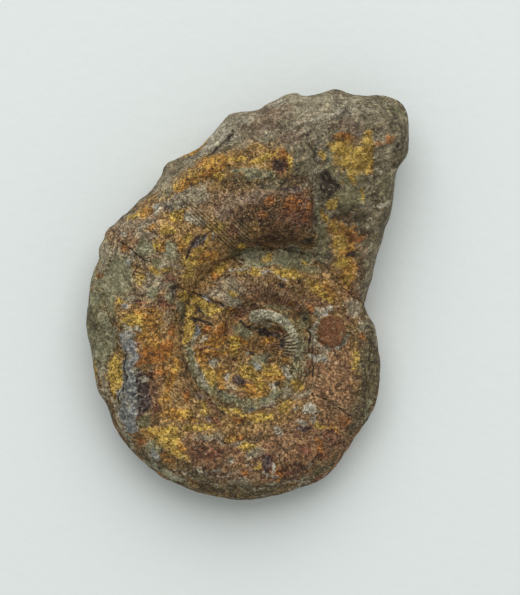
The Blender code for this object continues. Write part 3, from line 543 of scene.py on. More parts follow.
        (19.2, 28.0, 1.8, 2.2, 20, 1.35), (23.9, 28.5, 1.3, 3.2, -3, 1.2),
        (21.4, 26.8, 2.7, 2.4, 0, 1.35), (17.4, 29.4, 1.0, 0.6, -20, 0.8),
        (20.6, 23.8, 0.9, 1.6, 12, 1.05), (23.6, 24.9, 0.8, 1.2, 0), (15.1, 27.3, 0.6, 1.4, 12),
        (18.6, 21.8, 1, 0.8, 20, 0.4), (17.2, 18.9, 0.5, 1.1, 20, 0.4), (22.6, 20.2, 0.5, 0.9, 0, 0.8),
        (17, 17.9, 1.2, 0.8, 10, 1.1), (15.5, 15.2, 0.7, 1.3, 25, 1.1), (17.6, 12.8, 0.7, 0.9, 0),
        (18.6, 10, 1.1, 1.6, -20, 0.85), (19, 6.6, 1.5, 1.1, 0), (20.2, 3.2, 0.7, 1.5, -15, 0.8),
        (22.8, 18.9, 0.5, 0.9, 0, 0.7), (-6.6, 26.6, 2.8, 1.0, 40, 0.35), (-9.5, 24.2, 3, 0.8, 25, 0.5),
        (-12.4, 22.7, 2.6, 0.6, 35, 0.35), (-15, 20.3, 2.5, 0.7, 38, 0.7),
        (2.8, 29.4, 1.6, 0.7, -25, 0.4), (5, 27.6, 1.8, 0.7, -20, 0.5), (-2, 27, 2.2, 0.6, 5, 0.8),
        (3, 26.6, 2.2, 0.7, 15, 1.1), (8.8, 25.9, 0.6, 1.3, 0), (-5.6, 12.9, 1.1, 1.1, 0),
        (-5.2, 5.2, 1.1, 0.7, 30, 1.1), (-10.9, 6.1, 1.5, 1.1, 0, 1.1), (-11.3, 3.6, 1.4, 1.4, 0, 0.85),
        (-9.8, -1.2, 1.6, 0.7, -30, 1.2), (-8, -2.5, 2, 0.9, -32, 1.2), (-12.5, -0.5, 0.9, 1, 0, 1.1),
        (-6.2, -3.2, 1.2, 0.7, 0, 0.8), (-13.8, 15.5, 1.6, 0.9, 10, 1.1), (-11.6, 11, 1, 1.2, -10, 0.8),
        (-21.8, 15.2, 1.2, 0.6, 40, 0.75), (-22.7, -6.2, 2, 1.7, -20, 1.3),
        (-24.7, -1.5, 0.7, 0.6, 0, 1.2), (-14.1, -15, 0.5, 1.2, 0, 0.5),
        (((-11.8, -3.6), (-11.5, -6.2), (-11.7, -9.6)), 0.85), (-25.5, -16.4, 1.4, 3.6, 5, 1.4),
        (-15.5, -28.5, 2.2, 2.1, -20, 1.3), (-18.8, -27.0, 1.4, 0.6, 0, 0.8),
        (-9.8, -26.4, 2.8, 0.6, 5, 1.1), (-12.2, -23.8, 1.5, 0.8, 0, 0.6), (-8.4, -23, 0.9, 1.2, 0),
        (-13, -32, 2, 0.9, -35, 0.8), (-21.2, 3, 0.8, 1.3, 0, 0.9), (-16.5, -19.2, 0.7, 1.1, -35, 0.4),
        (-2.4, -10.6, 1.1, 1.8, -10, 1.1), (-7.2, -16.1, 1.9, 1.1, -45, 1.2),
        (-6.6, -17.8, 0.7, 0.6, 0, 1.1), (0.9, -15.8, 2.2, 1.2, -28, 1.5), (2.3, -16.9, 0.7, 0.7, 0, 1.2),
        (5.0, -15.5, 1.4, 1.0, 0, 0.9), (4.8, -14.5, 1.7, 0.5, 5, 1.2), (9.7, -18.2, 0.9, 1.2, 0, 1.3),
        (-1, -15, 1.0, 0.7, 0, 1.1), (-2.4, -23.5, 2.4, 0.5, -8, 0.9), (2.8, -24.8, 2.6, 0.8, 6, 1.2),
        (7.8, -22.2, 1.7, 0.8, 45, 1.1), (2.8, -18.2, 1.1, 1.1, 0, 0.75), (0.2, -30.2, 1.4, 0.8, 0),
        (2.2, -34.5, 0.6, 0.7, 0), (14.6, -26.3, 1.4, 0.6, -30, 0.8), (22, -13.3, 0.7, 1.8, 0, 0.9),
        (8.5, 4.2, 2.6, 0.9, -10), (2, 4.4, 1.6, 0.8, 0, 0.9), (13.5, 1.8, 1.8, 0.8, -30, 0.9),
        (-0.9, 9.5, 0.9, 0.4, 0, 1.2), (-3, 0.3, 0.9, 0.7, 0, 0.9), (3.9, 7.2, 0.8, 0.8, 0),
        (-18.2, 4.5, 1.6, 0.7, -15, 0.85), (-1.5, 5, 1.6, 0.8, 0, 0.7), (12.2, 6.4, 1.0, 0.5, 0, 0.8),
        (-15.6, 12.4, 1.2, 1.0, 0, 0.7),
    ),
    "calcite": (
        (6.3, 37.7, 1.6, 0.6, 15, 0.8), (-22.8, 16.1, 0.8, 0.4, 40, 0.8), (-15.4, 20, 1.4, 0.5, 38, 0.9),
        (-1.9, 22.8, 1.3, 0.3, 0, 0.8), (-21.2, -14.9, 0.6, 0.7, 0, 0.8),
        (-24.1, 11.8, 0.9, 0.7, -40, 0.8), (19.5, 36.5, 1.8, 0.5, 15, 0.9),
        (-3.8, 31.4, 1.2, 0.7, 50, 1.2), (8.6, -19, 0.8, 0.8, 0, 0.7), (-15, -37.2, 1.2, 0.5, -30, 0.8),
        (-3.6, 31.2, 1.4, 1, 50), (0.7, 7.6, 1.4, 0.4, 0, 0.8), (-1.3, 34.4, 1.6, 0.7, 20, 0.9),
        (-22.8, 7.8, 0.8, 0.6, 0, 0.8), (-24.2, -20.7, 0.6, 1.2, 0, 0.8), (-22, -14.7, 0.6, 1, 0, 0.8),
        (4, -38.6, 4, 0.6, 4, 0.65), (10, -37.2, 3, 0.5, 18, 0.65), (-6, -38.2, 3, 0.6, -8, 0.65),
        (-12, -36.4, 3, 0.6, -20, 0.65), (-24.0, -29.3, 0.8, 1.4, 40, 0.8),
        (-9.7, 27.8, 1.6, 0.7, 35, 0.8), (19.7, 36.2, 1.6, 0.7, 20, 0.75),
        (-22.9, -31.2, 0.8, 0.6, -40, 0.7), (-5, 32, 3.6, 1.3, 52), (-8, 29, 2.2, 0.9, 45),
        (12.6, -23.0, 1.2, 1.1, -30, 1.4), (11.2, -25.5, 0.9, 0.5, 0, 1.2), (10.3, -22.9, 0.5, 0.3, 0),
        (13.5, -25, 0.5, 0.6, 0), (6, -27, 1, 0.9, 0), (16.2, -3.1, 1.1, 0.6, -10),
        (((13.9, -5.4), (13.4, -7.4), (13.7, -9.2)), 0.4),
        (((19.9, -8.4), (19.4, -9.8), (18.2, -10.8)), 0.35), (13.7, -12.8, 0.8, 0.8, 0, 1.2),
        (8.4, -15.9, 1.2, 0.7, -30, 1.1), (-6.8, -13.6, 1.1, 0.6, 0, 1.1), (-8.3, -9, 0.7, 0.4, 0, 0.7),
        (-3.7, -16.4, 0.5, 0.7, 0, 0.8), (-0.1, -11.9, 0.4, 0.5, 0, 1.1), (-10.3, -12.1, 0.5, 0.25, -30),
        (-17.6, 16.4, 0.8, 0.9, 0, 0.9), (-1.5, 5, 1.8, 0.5, 10, 0.8), (-15.2, 17.4, 0.9, 0.4, 0),
        (-3.6, -33, 0.9, 0.5, 0, 0.8), (-10, -34.8, 0.8, 0.4, 0, 0.8), (26, 24.6, 0.9, 0.3, -50),
        (7, 3.4, 1.2, 0.3, -30), (4.2, 4.4, 1.2, 0.3, -15), (-20.4, -17, 0.9, 0.7, -40, 1.1),
        (-23.4, -12.4, 0.7, 0.8, -20, 1.1), (-23.6, -22.3, 0.7, 0.5, -30, 1.2),
        (-21.6, -18.3, 0.4, 0.35, 0, 0.9), (-20.3, -17.8, 0.5, 0.35, 0),
        (-20.4, -20.5, 0.5, 0.3, 30, 0.9), (-21.4, -21.8, 0.4, 0.4, 0, 0.8), (-23.6, -20.6, 0.5, 0.6, 0),
        (-24.1, -9.2, 0.4, 1, 0, 0.9), (-11.2, 15, 1, 0.6, -40, 0.9), (29.7, 24.6, 0.5, 0.5, 0, 1.1),
        (28.2, 18, 1.6, 0.7, 25, 0.8), (12, -34, 1.4, 0.5, 20, 0.7), (-24, -6.9, 1.6, 0.4, -60, 1.1),
        (-22.1, -7.6, 1.2, 0.7, 0, 1.1), (-3.2, 4.6, 0.4, 0.6, 0, 0.9),
        (((-9.9, -14.3), (-9.2, -16.0), (-8.1, -18.2)), 0.3),
        (((11.1, 33.9), (14.2, 34.6), (17.4, 35.4), (20.0, 36.6)), 0.5),
        (((26.0, 17.4), (27.6, 17.9), (29.0, 18.8), (30.0, 19.6)), 0.3),
        (((-7.8, 12.6), (-7.1, 11.8), (-6.5, 10.9)), 0.25), (5.8, -18.4, 0.5, 0.4, 0),
        (-8.4, -28.4, 0.9, 0.5, 0, 0.8), (-5, -29.4, 0.8, 0.4, 0, 0.8), (-6, -34.8, 1.2, 0.4, 10, 0.9),
        (5.5, -34.4, 0.4, 1.2, 0, 1.1), (4.2, -35.8, 1.4, 0.4, 0), (-9, -35.3, 1.4, 0.5, -10, 0.9),
        (0.5, -33.6, 0.6, 0.5, 0, 0.8), (14, 27.6, 0.4, 3.4, 5, 0.8), (13.6, 19, 0.3, 1.6, 0, 0.8),
    ),
    "slate_film": (
        (((-24.1, -8.6), (-23.6, -10.4), (-22.9, -12.0)), 1.1),
        (((-22.8, -12.6), (-23.0, -14.4), (-23.1, -15.6), (-22.8, -16.8)), 1.15),
        (((-23.1, -18.8), (-23.7, -20.4), (-23.8, -22.4), (-23.6, -24.4)), 1.75),
        (((-23.4, -25), (-22.6, -26.8)), 1.3), (-21.9, -12.3, 0.9, 0.9, 0, 1.1),
        (15.4, -3.8, 1, 0.6, -10, 0.5), (15.2, -13, 0.6, 0.4, 0), (-18.5, -32.6, 1.4, 0.6, -30, 0.8),
        (-18, 17.2, 1.1, 0.6, 0, 0.9), (6, -36.3, 1.2, 0.5, 0, 0.8), (-9.9, -7.0, 0.5, 1.1, 0, 1.1),
        (-3.6, -17, 0.4, 0.8, 0, 0.7), (2.4, -14.4, 0.8, 0.7, 0, 0.9), (-23.6, -2.5, 0.7, 0.6, 0, 0.9),
        (13, -23, 0.9, 0.8, 0, 0.9), (-8.3, -0.4, 0.9, 0.4, -30, 1.1), (1.1, -22.9, 0.9, 0.5, 0),
        (-23.6, 6, 0.8, 1, 0, 0.7), (-9.2, 9.9, 0.35, 1.3, -42, 0.6),
    ),
    "grime_and_shade": (
        # mostly painted shade, with some grime: on the rims that face away from the light, under the tube
        # and under ledges
        (29.4, 33, 1.8, 1.2, 0), (24.4, 33.2, 1.4, 1, 0, 1.1), (17.3, 19.4, 0.9, 1.2, 0, 1.1),
        (-22.7, -23.2, 0.5, 0.9, 0, 0.7), (6, 22.1, 2.8, 0.9, -6, 1.3), (15.4, 10.1, 1.5, 2.4, 0, 1.3),
        (15.3, 19.5, 1.0, 1.8, 0, 1.2), (25.9, 18.3, 1.8, 2, 0, 1.1), (30.2, 27.1, 1.4, 2.4, 0),
        (10.9, 24.3, 1.6, 1.2, 0, 1.1), (16.4, 27.4, 0.8, 2.4, 12, 1.1), (4.5, 21.1, 2.6, 0.8, -6, 1.1),
        (24.5, 10.8, 0.9, 1.8, -15, 1.1), (25.6, 24.2, 1.4, 1.8, 0), (-9.3, -36.3, 2.6, 1.2, -12, 1.1),
        (22.1, 7.8, 0.9, 1.4, -15, 1.2), (24.8, -14.5, 2.4, 8, 0, 1.1), (22.8, -23, 1.8, 5, -25, 1.1),
        (-18.5, -35, 7.5, 1.8, -38), (0, -39.0, 11, 1.7, 0, 0.75), (13.4, -36.6, 5, 1.3, 35, 0.9),
        (24.4, -5, 0.9, 4, 15), (-30.8, -4, 1.2, 7, 0), (-29.4, 10, 0.9, 2.4, -20, 0.7),
        (-24.5, 15.2, 4, 0.8, 40), (-27.6, -25, 0.9, 2.4, 20, 0.7), (-26, -10, 0.6, 2, 0, 0.6),
        (27.5, 14.5, 1.4, 5, -15, 0.7), (-5.5, -22.9, 2, 0.5, -35, 0.8), (8, 8.8, 4, 0.7, 3, 0.9),
        (20.4, 17.4, 2.4, 1.8, 0, 0.9), (23.2, 14.8, 2.4, 1.6, 0), (29.5, 36.2, 2.2, 1, 10, 0.9),
        (31.2, 31, 1, 4, 0, 0.8), (28, 22.5, 1, 3.6, 0, 0.7), (31, 37.5, 2, 1, -40, 0.7),
        (26, 34, 3, 1.5, 0, 0.5),
    ),
    "manganese": (
        # (4.6, 20.9) is painted shadow under the same ledge
        (4.6, 20.9, 2, 0.3, -6, 0.5), (17.1, 10.6, 1.0, 1.0, 0, 0.5), (16.8, 27.5, 0.7, 0.6, 0, 0.6),
        (22.6, 29.9, 0.7, 0.4, 30, 0.6), (8.1, -36.7, 1.6, 0.7, 15, 0.6),
        (-13.3, -22.8, 0.9, 0.4, 20, 0.5), (-6.9, -4.8, 0.9, 0.4, -20, 0.6),
        (-16.6, -19.6, 0.6, 0.9, 0, 0.45), (16.4, 27.8, 0.5, 1.4, 10, 0.65),
        (-15.2, -8.8, 0.8, 1.2, 0, 0.5), (19, 30.4, 1.2, 0.3, 0, 0.6), (-6.9, -5.8, 1, 0.5, -20, 0.8),
        (-29.8, -5, 0.9, 5, 0, 0.5), (-10, -38, 6, 1, -12, 0.45),
        (((15.9, 23.6), (16.3, 22.3), (17.3, 21.2)), 1.15), (((15.6, 21.6), (15.9, 19.9)), 1.0),
        (20.8, 8.2, 0.9, 0.7, 0, 1.1), (((-11.2, 7.0), (-10.8, 8.6), (-9.9, 10.2), (-9.2, 11.2)), 0.34),
        (3.3, -7.8, 1.5, 0.7, -10, 1.1), (13, 12.2, 1, 0.6, 0, 0.8),
        (((2, -7.2), (0.9, -6.3), (-0.9, -5.2)), 0.28), (6.6, -9.6, 0.8, 0.6, -50),
        (4.6, -12.8, 0.9, 0.4, -10, 0.8), (0.9, -11.7, 0.8, 0.35, 0), (10.2, 2.6, 0.5, 0.8, 0),
        (6.5, 2, 1, 0.5, -30), (((-10.8, -4.9), (-9.4, -5.1), (-8, -5.5), (-6.9, -5.9)), 0.32),
        (-5.2, -19.8, 0.8, 0.35, 35), (11.8, 10.6, 1.4, 0.6, 0, 0.8),
        (((12.75, -6), (12.8, -9), (12.9, -12)), 0.22), (((12.9, -13.8), (12.5, -16.5)), 0.22),
        (6.2, -18, 0.5, 0.4, 0), (6.3, 25, 1.2, 0.8, 30, 0.9), (-14.3, 1.4, 1.1, 0.3, 10, 0.9),
        (-9, -3.2, 1.2, 0.3, -20, 0.7), (3.8, -33.4, 0.9, 0.9, 0, 0.45), (11.4, -5.4, 0.6, 0.4, 0),
        (21.5, 28.6, 0.25, 1.3, -15, 0.75), (20.5, 25.4, 0.9, 0.25, 30, 0.7),
        (18.4, 27.2, 0.25, 1, 10, 0.7), (-21.2, -19.4, 0.9, 1.6, 0, 0.7), (30.2, 29.2, 0.8, 0.8, 0, 0.8),
        (-3, -20.9, 0.7, 0.3, -30, 0.8), (-9.3, -8.9, 0.3, 0.8, 10, 0.7), (17.6, 27.4, 1.0, 0.3, 10, 0.7),
        (29.3, 36.4, 1.6, 0.4, 5, 0.6),
    ),
    "ribbed": (
        (7.0, -0.6, 6.5, 2.0, -16), (11.5, -3.0, 2.0, 1.2, -50), (13.9, -16.5, 0.8, 2.6, 0, 0.7),
    ),
    "striped": (
        (-8.8, 14.8, 4.6, 1.3, -45), (-4.6, 11.4, 3.2, 1.4, -45), (-11, 16.8, 2.0, 1.0, -45, 0.9),
        (-1.2, 12.6, 2.6, 1.2, -45, 0.9), (-14.5, -20, 2.4, 1.6, -40, 0.6),
    ),
}
STAIN_WANDER = (2.4, 0.55)        # mm: the stains' edges wander, on this scale and by this much
STAIN_FALL = 0.7                  # how steeply a stain fades past its edge


def stain(x, y, places):
    """The largest over its places of strength times exp(-STAIN_FALL r^3), with r the share of the way out.

    For a stroke r is the distance to its line over its half width. For an oval it is the distance to the
    middle, with both directions measured in half lengths and half widths.
    """
    scale, reach = STAIN_WANDER
    across, up = (rough(x, y, scale, octaves=3, seed=seed) for seed in (20, 21))
    x, y = x + reach * across, y + reach * up
    share = np.zeros_like(x)
    for place in places:
        strength = 1.0
        if len(place) == 2:
            out = np.abs(line_distance(x, y, place[0])[0]) / place[1]
        else:
            cos, sin = np.cos(np.radians(place[4])), np.sin(np.radians(place[4]))
            out = np.hypot(((x - place[0]) * cos + (y - place[1]) * sin) / place[2],
                           ((y - place[1]) * cos - (x - place[0]) * sin) / place[3])
            strength = place[5] if len(place) > 5 else 1.0
        share = np.maximum(share, strength * np.exp(-STAIN_FALL * out**3))
    return share


print("stains laid:", {name: len(places) for name, places in STAINS.items()})

# %% [markdown]
# ## Relief of the upper side
# The whorls and the matrix are blended, then the facets, breaks and bumps go on, and last the unevenness.
# The matrix broke like rock, so it gets chips with sharp edges. The shell wore smooth, so it gets soft
# noise. The umbilicus kept the most dirt, and is the roughest of the shell.

# %% Upper side
# breaks
BREAK_WANDER = 0.35               # mm that noise moves a break's line aside
SHUT_END = 0.15                   # a crack is open where its depth's share passes this
STEP_END = 0.12                   # a step rises over this share of its line at either end
FACET_WANDER, FACET_BLEND = 0.5, 0.4    # mm that noise moves a facet's edge, and mm^2 that round it off
# the inner whorls
INNER_TURNS, INNER_RADII = (0.02, -0.06), (1.0, 3.0)    # their ribs come in over these growth turns and mm
INNER_RIBS, INNER_RIB_RISE = 46, 0.17   # ribs round the umbilicus, and their height in mm
RIB_BEND, RIB_WAVER = 0.8, 1.5          # radians that a rib bends in each mm outwards, and by noise
COMB_RIBS, COMB_BEND, COMB_WAVER = 58, 1.6, 2.2         # the same for the comb's ribs
COMB_RISE, CREST_RISE = 0.22, 0.35      # mm
LAP_START = 0.3                   # the crest is followed over +X, so smaller turns count as the next lap
CREST_BLEND, CREST_TAPER = 0.02, 0.95   # turns over which it comes in, and the turn from which it tapers
# unevenness, in mm
ROCK_CHIPS, ROCK_DROP, ROCK_ROUGH, ROCK_CRUMBS = 0.9, 0.4, 0.32, 0.15   # the drop keeps its mean at 0
SHELL_ROUGH, INNER_ROUGH = 0.24, 0.26
CRUST_RISE, CHIP_DEPTH, DISC_RISE = 0.16, 0.12, 0.35
CRUST_SPAN, CRUST_FRAY, CHIP_FRAY = (0.3, 0.6), 0.5, 0.4    # stain strengths where crusts rise; their noise
DISC_EDGE, DISC_WANDER = (0.25, -0.15), 0.5     # mm from the scar's radius where its edge starts and ends
DISC_CALM, LUMP_CALM = 0.80, 0.85       # shares of the unevenness that the scar and the lump lack
BOWL_EDGE = (2.2, -0.2)           # mm past the seam between which the umbilicus's roughness comes in
RIGHT_SIDE = (-2.0, 10.0)         # x between which the umbilicus's wall widens
BAND_LAP = 0.7                    # its band is followed over +X, so larger turns count as the lap before
BAND_MEAN, BAND_PATCHES = 0.9, 0.4      # how strong it is, and how patchy
DIRT_AND_SHADE_BREAKS, DIRT_AND_SHADE_BOWL = 1.4, 0.35      # dirt and painted shade: how much more the breaks count, and the umbilicus less


def breaks(x, y):
    """(height change, signed distance to the nearest crack).

    Grooves are bell curves of the distance. Steps are hyperbolic tangents of it, which fade with its size.
    """
    wander = BREAK_WANDER * rough(x, y, size=1.6, octaves=3, seed=40)
    change, nearest = np.zeros_like(x), np.full(x.shape, FAR_OFF)
    for points, depth, width in CRACKS:
        far, along = line_distance(x, y, points)
        far = far + wander
        ends = np.sqrt(np.clip(4.0 * along * (1.0 - along), 0.0, 1.0))
        change -= depth * ends * np.exp(-((far / width) ** 2))
        open_far = np.where(ends > SHUT_END, far, FAR_OFF)
        nearest = np.where(np.abs(open_far) < np.abs(nearest), open_far, nearest)
    for points, depth, width in HOLLOWS:
        far, _ = line_distance(x, y, points)
        patchy = 0.8 + 0.5 * rough(x, y, size=3.0, octaves=2, seed=44)
        change -= depth * np.exp(-((far / width) ** 2)) * patchy
    for points, rise, width, reach in STEPS:
        far, along = line_distance(x, y, points)
        far = far + wander
        ends = smooth_step(0.0, STEP_END, along) * smooth_step(1.0, 1.0 - STEP_END, along)
        change += 0.5 * rise * ends * np.tanh(far / width) * np.exp(-np.abs(far) / reach)
    return change, nearest


def facet_fall(x, y):
    """How far the broken facets fall: slope times a soft maximum of 0 and the way past each line."""
    fall = np.zeros_like(x)
    for x0, y0, heading, slope in FACETS:
        way = (x - x0) * np.cos(np.radians(heading)) + (y - y0) * np.sin(np.radians(heading))
        way = way + FACET_WANDER * rough(x, y, size=4.0, octaves=2, seed=47)
        fall += slope * (way + np.sqrt(way**2 + FACET_BLEND)) / 2
    return fall


def bump_rise(x, y):
    """Rounded bumps and hollows: each is its rise times a bell curve of the distance to its middle."""
    total = np.zeros_like(x)
    for bump_x, bump_y, reach, rise in BUMPS:
        total += rise * np.exp(-((x - bump_x) ** 2 + (y - bump_y) ** 2) / reach**2)
    return total


def umbilicus_relief(x, y):
    """(relief in mm, and the shares of crest, comb and its ribs) of the inner whorls.

    Ribs are sines of the angle round the axis and of the radius, with noise in them, times an arch across
    the whorl. The crest is a flat-topped bell across its spiral, and the comb one in radius and in angle.
    """
    turn, across = coil_place(x, y)
    radius = np.hypot(x - COIL_AXIS[0], y - COIL_AXIS[1])
    angle = turn_angle(x, y)
    inside = smooth_step(*INNER_TURNS, turn) * smooth_step(*INNER_RADII, radius)
    waver, fade = (rough(x, y, size, octaves=2, seed=seed) for size, seed in ((2.5, 50), (3.5, 52)))
    coarse = np.sin(2 * np.pi * INNER_RIBS * angle + RIB_BEND * radius + RIB_WAVER * waver)
    body = np.sin(np.pi * np.clip(across, 0.0, 1.0))
    relief = inside * body * coarse * INNER_RIB_RISE * smooth_step(-0.6, 0.4, fade)
    lap = np.where(angle < LAP_START, angle + 1.0, angle)
    start, end = CREST_ANGLES
    arc = smooth_step(start - CREST_BLEND, start + CREST_BLEND, lap) * smooth_step(end, CREST_TAPER, lap)
    thick = np.interp(lap, CREST_ANGLES, CREST_HALF_WIDTHS)
    crest = arc * np.exp(-(((radius - SEAM_RADIUS * WHORL_RATE ** (lap - CREST_TURN)) / thick) ** 4))
    comb = np.exp(-(((radius - COMB[0]) / COMB[1]) ** 4) - ((lap - COMB[2]) / COMB[3]) ** 4)
    waver = rough(x, y, size=1.6, octaves=2, seed=55)
    teeth = np.sin(2 * np.pi * COMB_RIBS * angle + COMB_BEND * radius + COMB_WAVER * waver)
    return relief + CREST_RISE * crest + COMB_RISE * comb * teeth, crest, comb, teeth


def top_parts(x, y, stain_x=None, stain_y=None):
    """The upper side's form and unevenness in mm, and the fields that its colours need, as arrays by name.

    The form is shell and matrix blended by the matrix's share, plus breaks, bumps and the inner relief. The
    stains are read at their own places where those are given.
    """
    if stain_x is None:
        stain_x, stain_y = x, y
    matrix = matrix_share(x, y)
    form = shell_height(x, y) * (1 - matrix) + (matrix_height(x, y) - facet_fall(x, y)) * matrix
    change, crack = breaks(x, y)
    inner, crest, comb, teeth = umbilicus_relief(x, y)
    bowl = smooth_step(*BOWL_EDGE, past_seam(x, y)) * (1 - matrix)
    stains = {name: stain(stain_x, stain_y, ovals) for name, ovals in STAINS.items()}
    crust = np.maximum(stains["limonite"], stains["rust"])
    crust = crust + CRUST_FRAY * rough(x, y, size=1.6, octaves=3, seed=75)
    chip = stains["calcite"] + CHIP_FRAY * rough(x, y, size=1.4, octaves=3, seed=78)
    rock = ROCK_CHIPS * chips(x, y, size=5.5, seed=60) - ROCK_DROP
    rock = rock + ROCK_ROUGH * rough(x, y, size=3.0, octaves=5, seed=61, keep=0.6)
    rock = rock + ROCK_CRUMBS * chips(x, y, size=1.9, seed=62)
    shell = SHELL_ROUGH * rough(x, y, size=4.5, octaves=5, seed=64, keep=0.66)
    shell = shell + CRUST_RISE * smooth_step(*CRUST_SPAN, crust)
    shell = shell - CHIP_DEPTH * smooth_step(*CRUST_SPAN, chip)
    inner_rough = INNER_ROUGH * rough(x, y, size=1.5, octaves=3, seed=70, keep=0.65)
    disc_far = np.hypot(x - DISC[0], y - DISC[1]) + DISC_WANDER * rough(x, y, size=2.4, octaves=3, seed=73)
    disc = smooth_step(DISC[2] + DISC_EDGE[0], DISC[2] + DISC_EDGE[1], disc_far)
    lump = np.exp(-(((x - LUMP[0]) ** 2 + (y - LUMP[1]) ** 2) / LUMP[2]) ** 2)
    uneven = rock * matrix + shell * (1 - matrix) + inner_rough * bowl
    uneven = uneven * (1 - DISC_CALM * disc) * (1 - LUMP_CALM * lump)
    form = form + change + bump_rise(x, y) + inner * (1 - matrix) + DISC_RISE * disc
    seam = np.abs(past_seam(x, y)) + FAR_OFF * matrix
    # the umbilicus's wall: a band just inside the last seam, followed from the crest round to the crack
    right = smooth_step(*RIGHT_SIDE, x)
    lap = turn_angle(x, y)
    lap = np.where(lap > BAND_LAP, lap - 1.0, lap)
    radius = np.hypot(x - COIL_AXIS[0], y - COIL_AXIS[1])
    off_middle = SEAM_RADIUS * WHORL_RATE**lap - radius - BAND[0] - BAND_RIGHT[0] * right
    band = np.exp(-((off_middle / (BAND[1] + BAND_RIGHT[1] * right)) ** 2))
    band = band * smooth_step(*BAND_ENDS[0], lap) * smooth_step(*BAND_ENDS[1], lap)
    band = band * (BAND_MEAN + BAND_PATCHES * rough(x, y, size=1.8, octaves=3, seed=98))
    # painted shade and dirt: low in hollows, grooves and on the low side of steps, which the material
    # darkens
    dirt_and_shade = (uneven + DIRT_AND_SHADE_BREAKS * change + inner * (1 - matrix)) * (1 - DIRT_AND_SHADE_BOWL * bowl)
    return {"form": form, "uneven": uneven, "dirt_and_shade": dirt_and_shade, "matrix": matrix, "crack": crack, "seam": seam,
            "band": band, "crest": crest, "comb": comb * teeth, "disc": disc, **stains}


middle = top_parts(np.array([COIL_AXIS[0]]), np.array([COIL_AXIS[1]]))
print("height at the coil axis, mm:", middle["form"].round(2))

# %% [markdown]
# ## The closed surface
# A polar grid suits a coil: its rings run round the stone and its spokes run out from the coil axis. Inside
# the last seam the rings follow that seam, so the whorls' edges fall between the same two rings all the way
# round. Over the rim a ring's height follows a quarter ellipse, and the underside comes back the same way.
# The wall that this leaves is roughened as rock, and the stains are moved about on it, because they are
# laid from above and would run straight down it.

# %% Surface grid
COLUMNS = 600
RINGS = {"bowl": 54, "flank": 66, "rim": 18, "under_rim": 10, "back": 14}
RIM_ROUND = 0.62                  # how far in the rounding starts, as a share of the seam's radius
MATRIX_ROUND, BACK_ROUND = 4.2, 5.5     # and in mm, on the matrix and on the underside
RIM_SAMPLE, RIM_PASSES = 0.97, 30       # read at this share of the way out, then smoothed this many times
RIM_FADE, BACK_FADE = (0.0, 0.4), (0.0, 0.8)    # closing between which relief and the back's stains come in
BACK_DEPTH, BACK_RELIEF, BACK_UNEVENNESS = 1.8, 0.32, 0.45
BACK_DIRT_AND_SHADE = 0.5                   # mm: painted shade and dirt lie where the back stands less than this above the worn flat
WORN_BLEND = 0.5                  # mm over which the rough back turns into the worn flat
CORNER_LIFT, CORNER_LINE = 5.0, (36.0, 66.0)    # the matrix's far corner stands clear of the table, in mm
WALL_WANDER, WALL_HEIGHT = 5.0, 9.0     # mm that the stains are moved about on the wall, and how high it is
WALL_RADIUS, WALL_SHIFT = 30.0, 300.0   # mm: they turn an angle into a way round, and move the second noise
WALL_BLEND = (2.6, 2.0)           # radians from +X between which the first noise takes over
SIDE_SOFT, SIDE_CHIPS, CHIP_MEAN = 0.45, 0.5, 0.4       # mm of noise and of chips, and the chips' mean
DENT_SHARE, DENT_SPAN = 0.6, (-0.9, 0.6)        # how much of the wall's roughness shows, and its limits, mm


def back_height(x, y):
    """The coil's faint relief, uneven, worn flat where it would pass below the rest plane.

    The worn edge is a smooth maximum of the rough height and 0, and flat where that is nearly nothing.
    """
    matrix = matrix_share(x, y)
    form = shell_height(x, y) * (1 - matrix) + matrix_height(x, y) * matrix - mid_height(x, y)
    lift = CORNER_LIFT * smooth_step(*CORNER_LINE, x + y)
    soft, fine = rough(y, x, size=6.0, octaves=3, seed=90), rough(x, y, size=2.0, octaves=3, seed=93)
    uneven = BACK_UNEVENNESS * (soft + 0.6 * fine)
    high = BACK_DEPTH - BACK_RELIEF * form + uneven + lift
    worn = (high + np.sqrt(high**2 + WORN_BLEND**2) - WORN_BLEND) / 2
    return np.where(worn < WORN_BLEND / 10, 0.0, worn)


def round_widths(edge):
    """How far in from the outline the rounding starts: a share of the seam's radius, or the matrix's width.

    Each pass then replaces a width by a quarter of both neighbours and half of itself.
    """
    x, y = (COIL_AXIS[k] + RIM_SAMPLE * (edge[:, k] - COIL_AXIS[k]) for k in range(2))
    turn, _ = coil_place(x, y)
    on_matrix = matrix_share(x, y)
    width = RIM_ROUND * SEAM_RADIUS * WHORL_RATE**turn * (1 - on_matrix) + MATRIX_ROUND * on_matrix
    for _ in range(RIM_PASSES):
        width = (np.roll(width, 1) + 2 * width + np.roll(width, -1)) / 4
    return width


def ring_places(edge, inside, flat, count):
    """(x, y, closing) of a side's rings: the flat ones, then `count` that round it off to the outline.

    There a ring's way out follows the sine of an even angle, and closing follows its cosine from 1 to 0.
    """
    angle = np.linspace(0.0, np.pi / 2, count + 1)[1:, None]
    share = np.vstack([flat, 1.0 - (1.0 - inside) * (1.0 - np.sin(angle))])
    closing = np.vstack([np.ones_like(flat), np.cos(angle) * np.ones(len(edge))])
    x, y = (COIL_AXIS[k] + share * (edge[:, k] - COIL_AXIS[k]) for k in range(2))
    return x, y, closing


def round_wall(noise, x, y, z):
    """A noise over the way round the stone and the height. It fades into a second one near the -X side.

    The way round is an angle times a radius, which jumps at -X. The second one's angle jumps at +X instead,
    so the share of each falls to 0 before its jump.
    """
    angle = np.arctan2(y, x)
    opposite = np.arctan2(-y, -x)
    share = smooth_step(*WALL_BLEND, np.abs(angle))
    first, second = noise(WALL_RADIUS * angle, z), noise(WALL_RADIUS * opposite + WALL_SHIFT, z)
    return first * share + second * (1 - share)


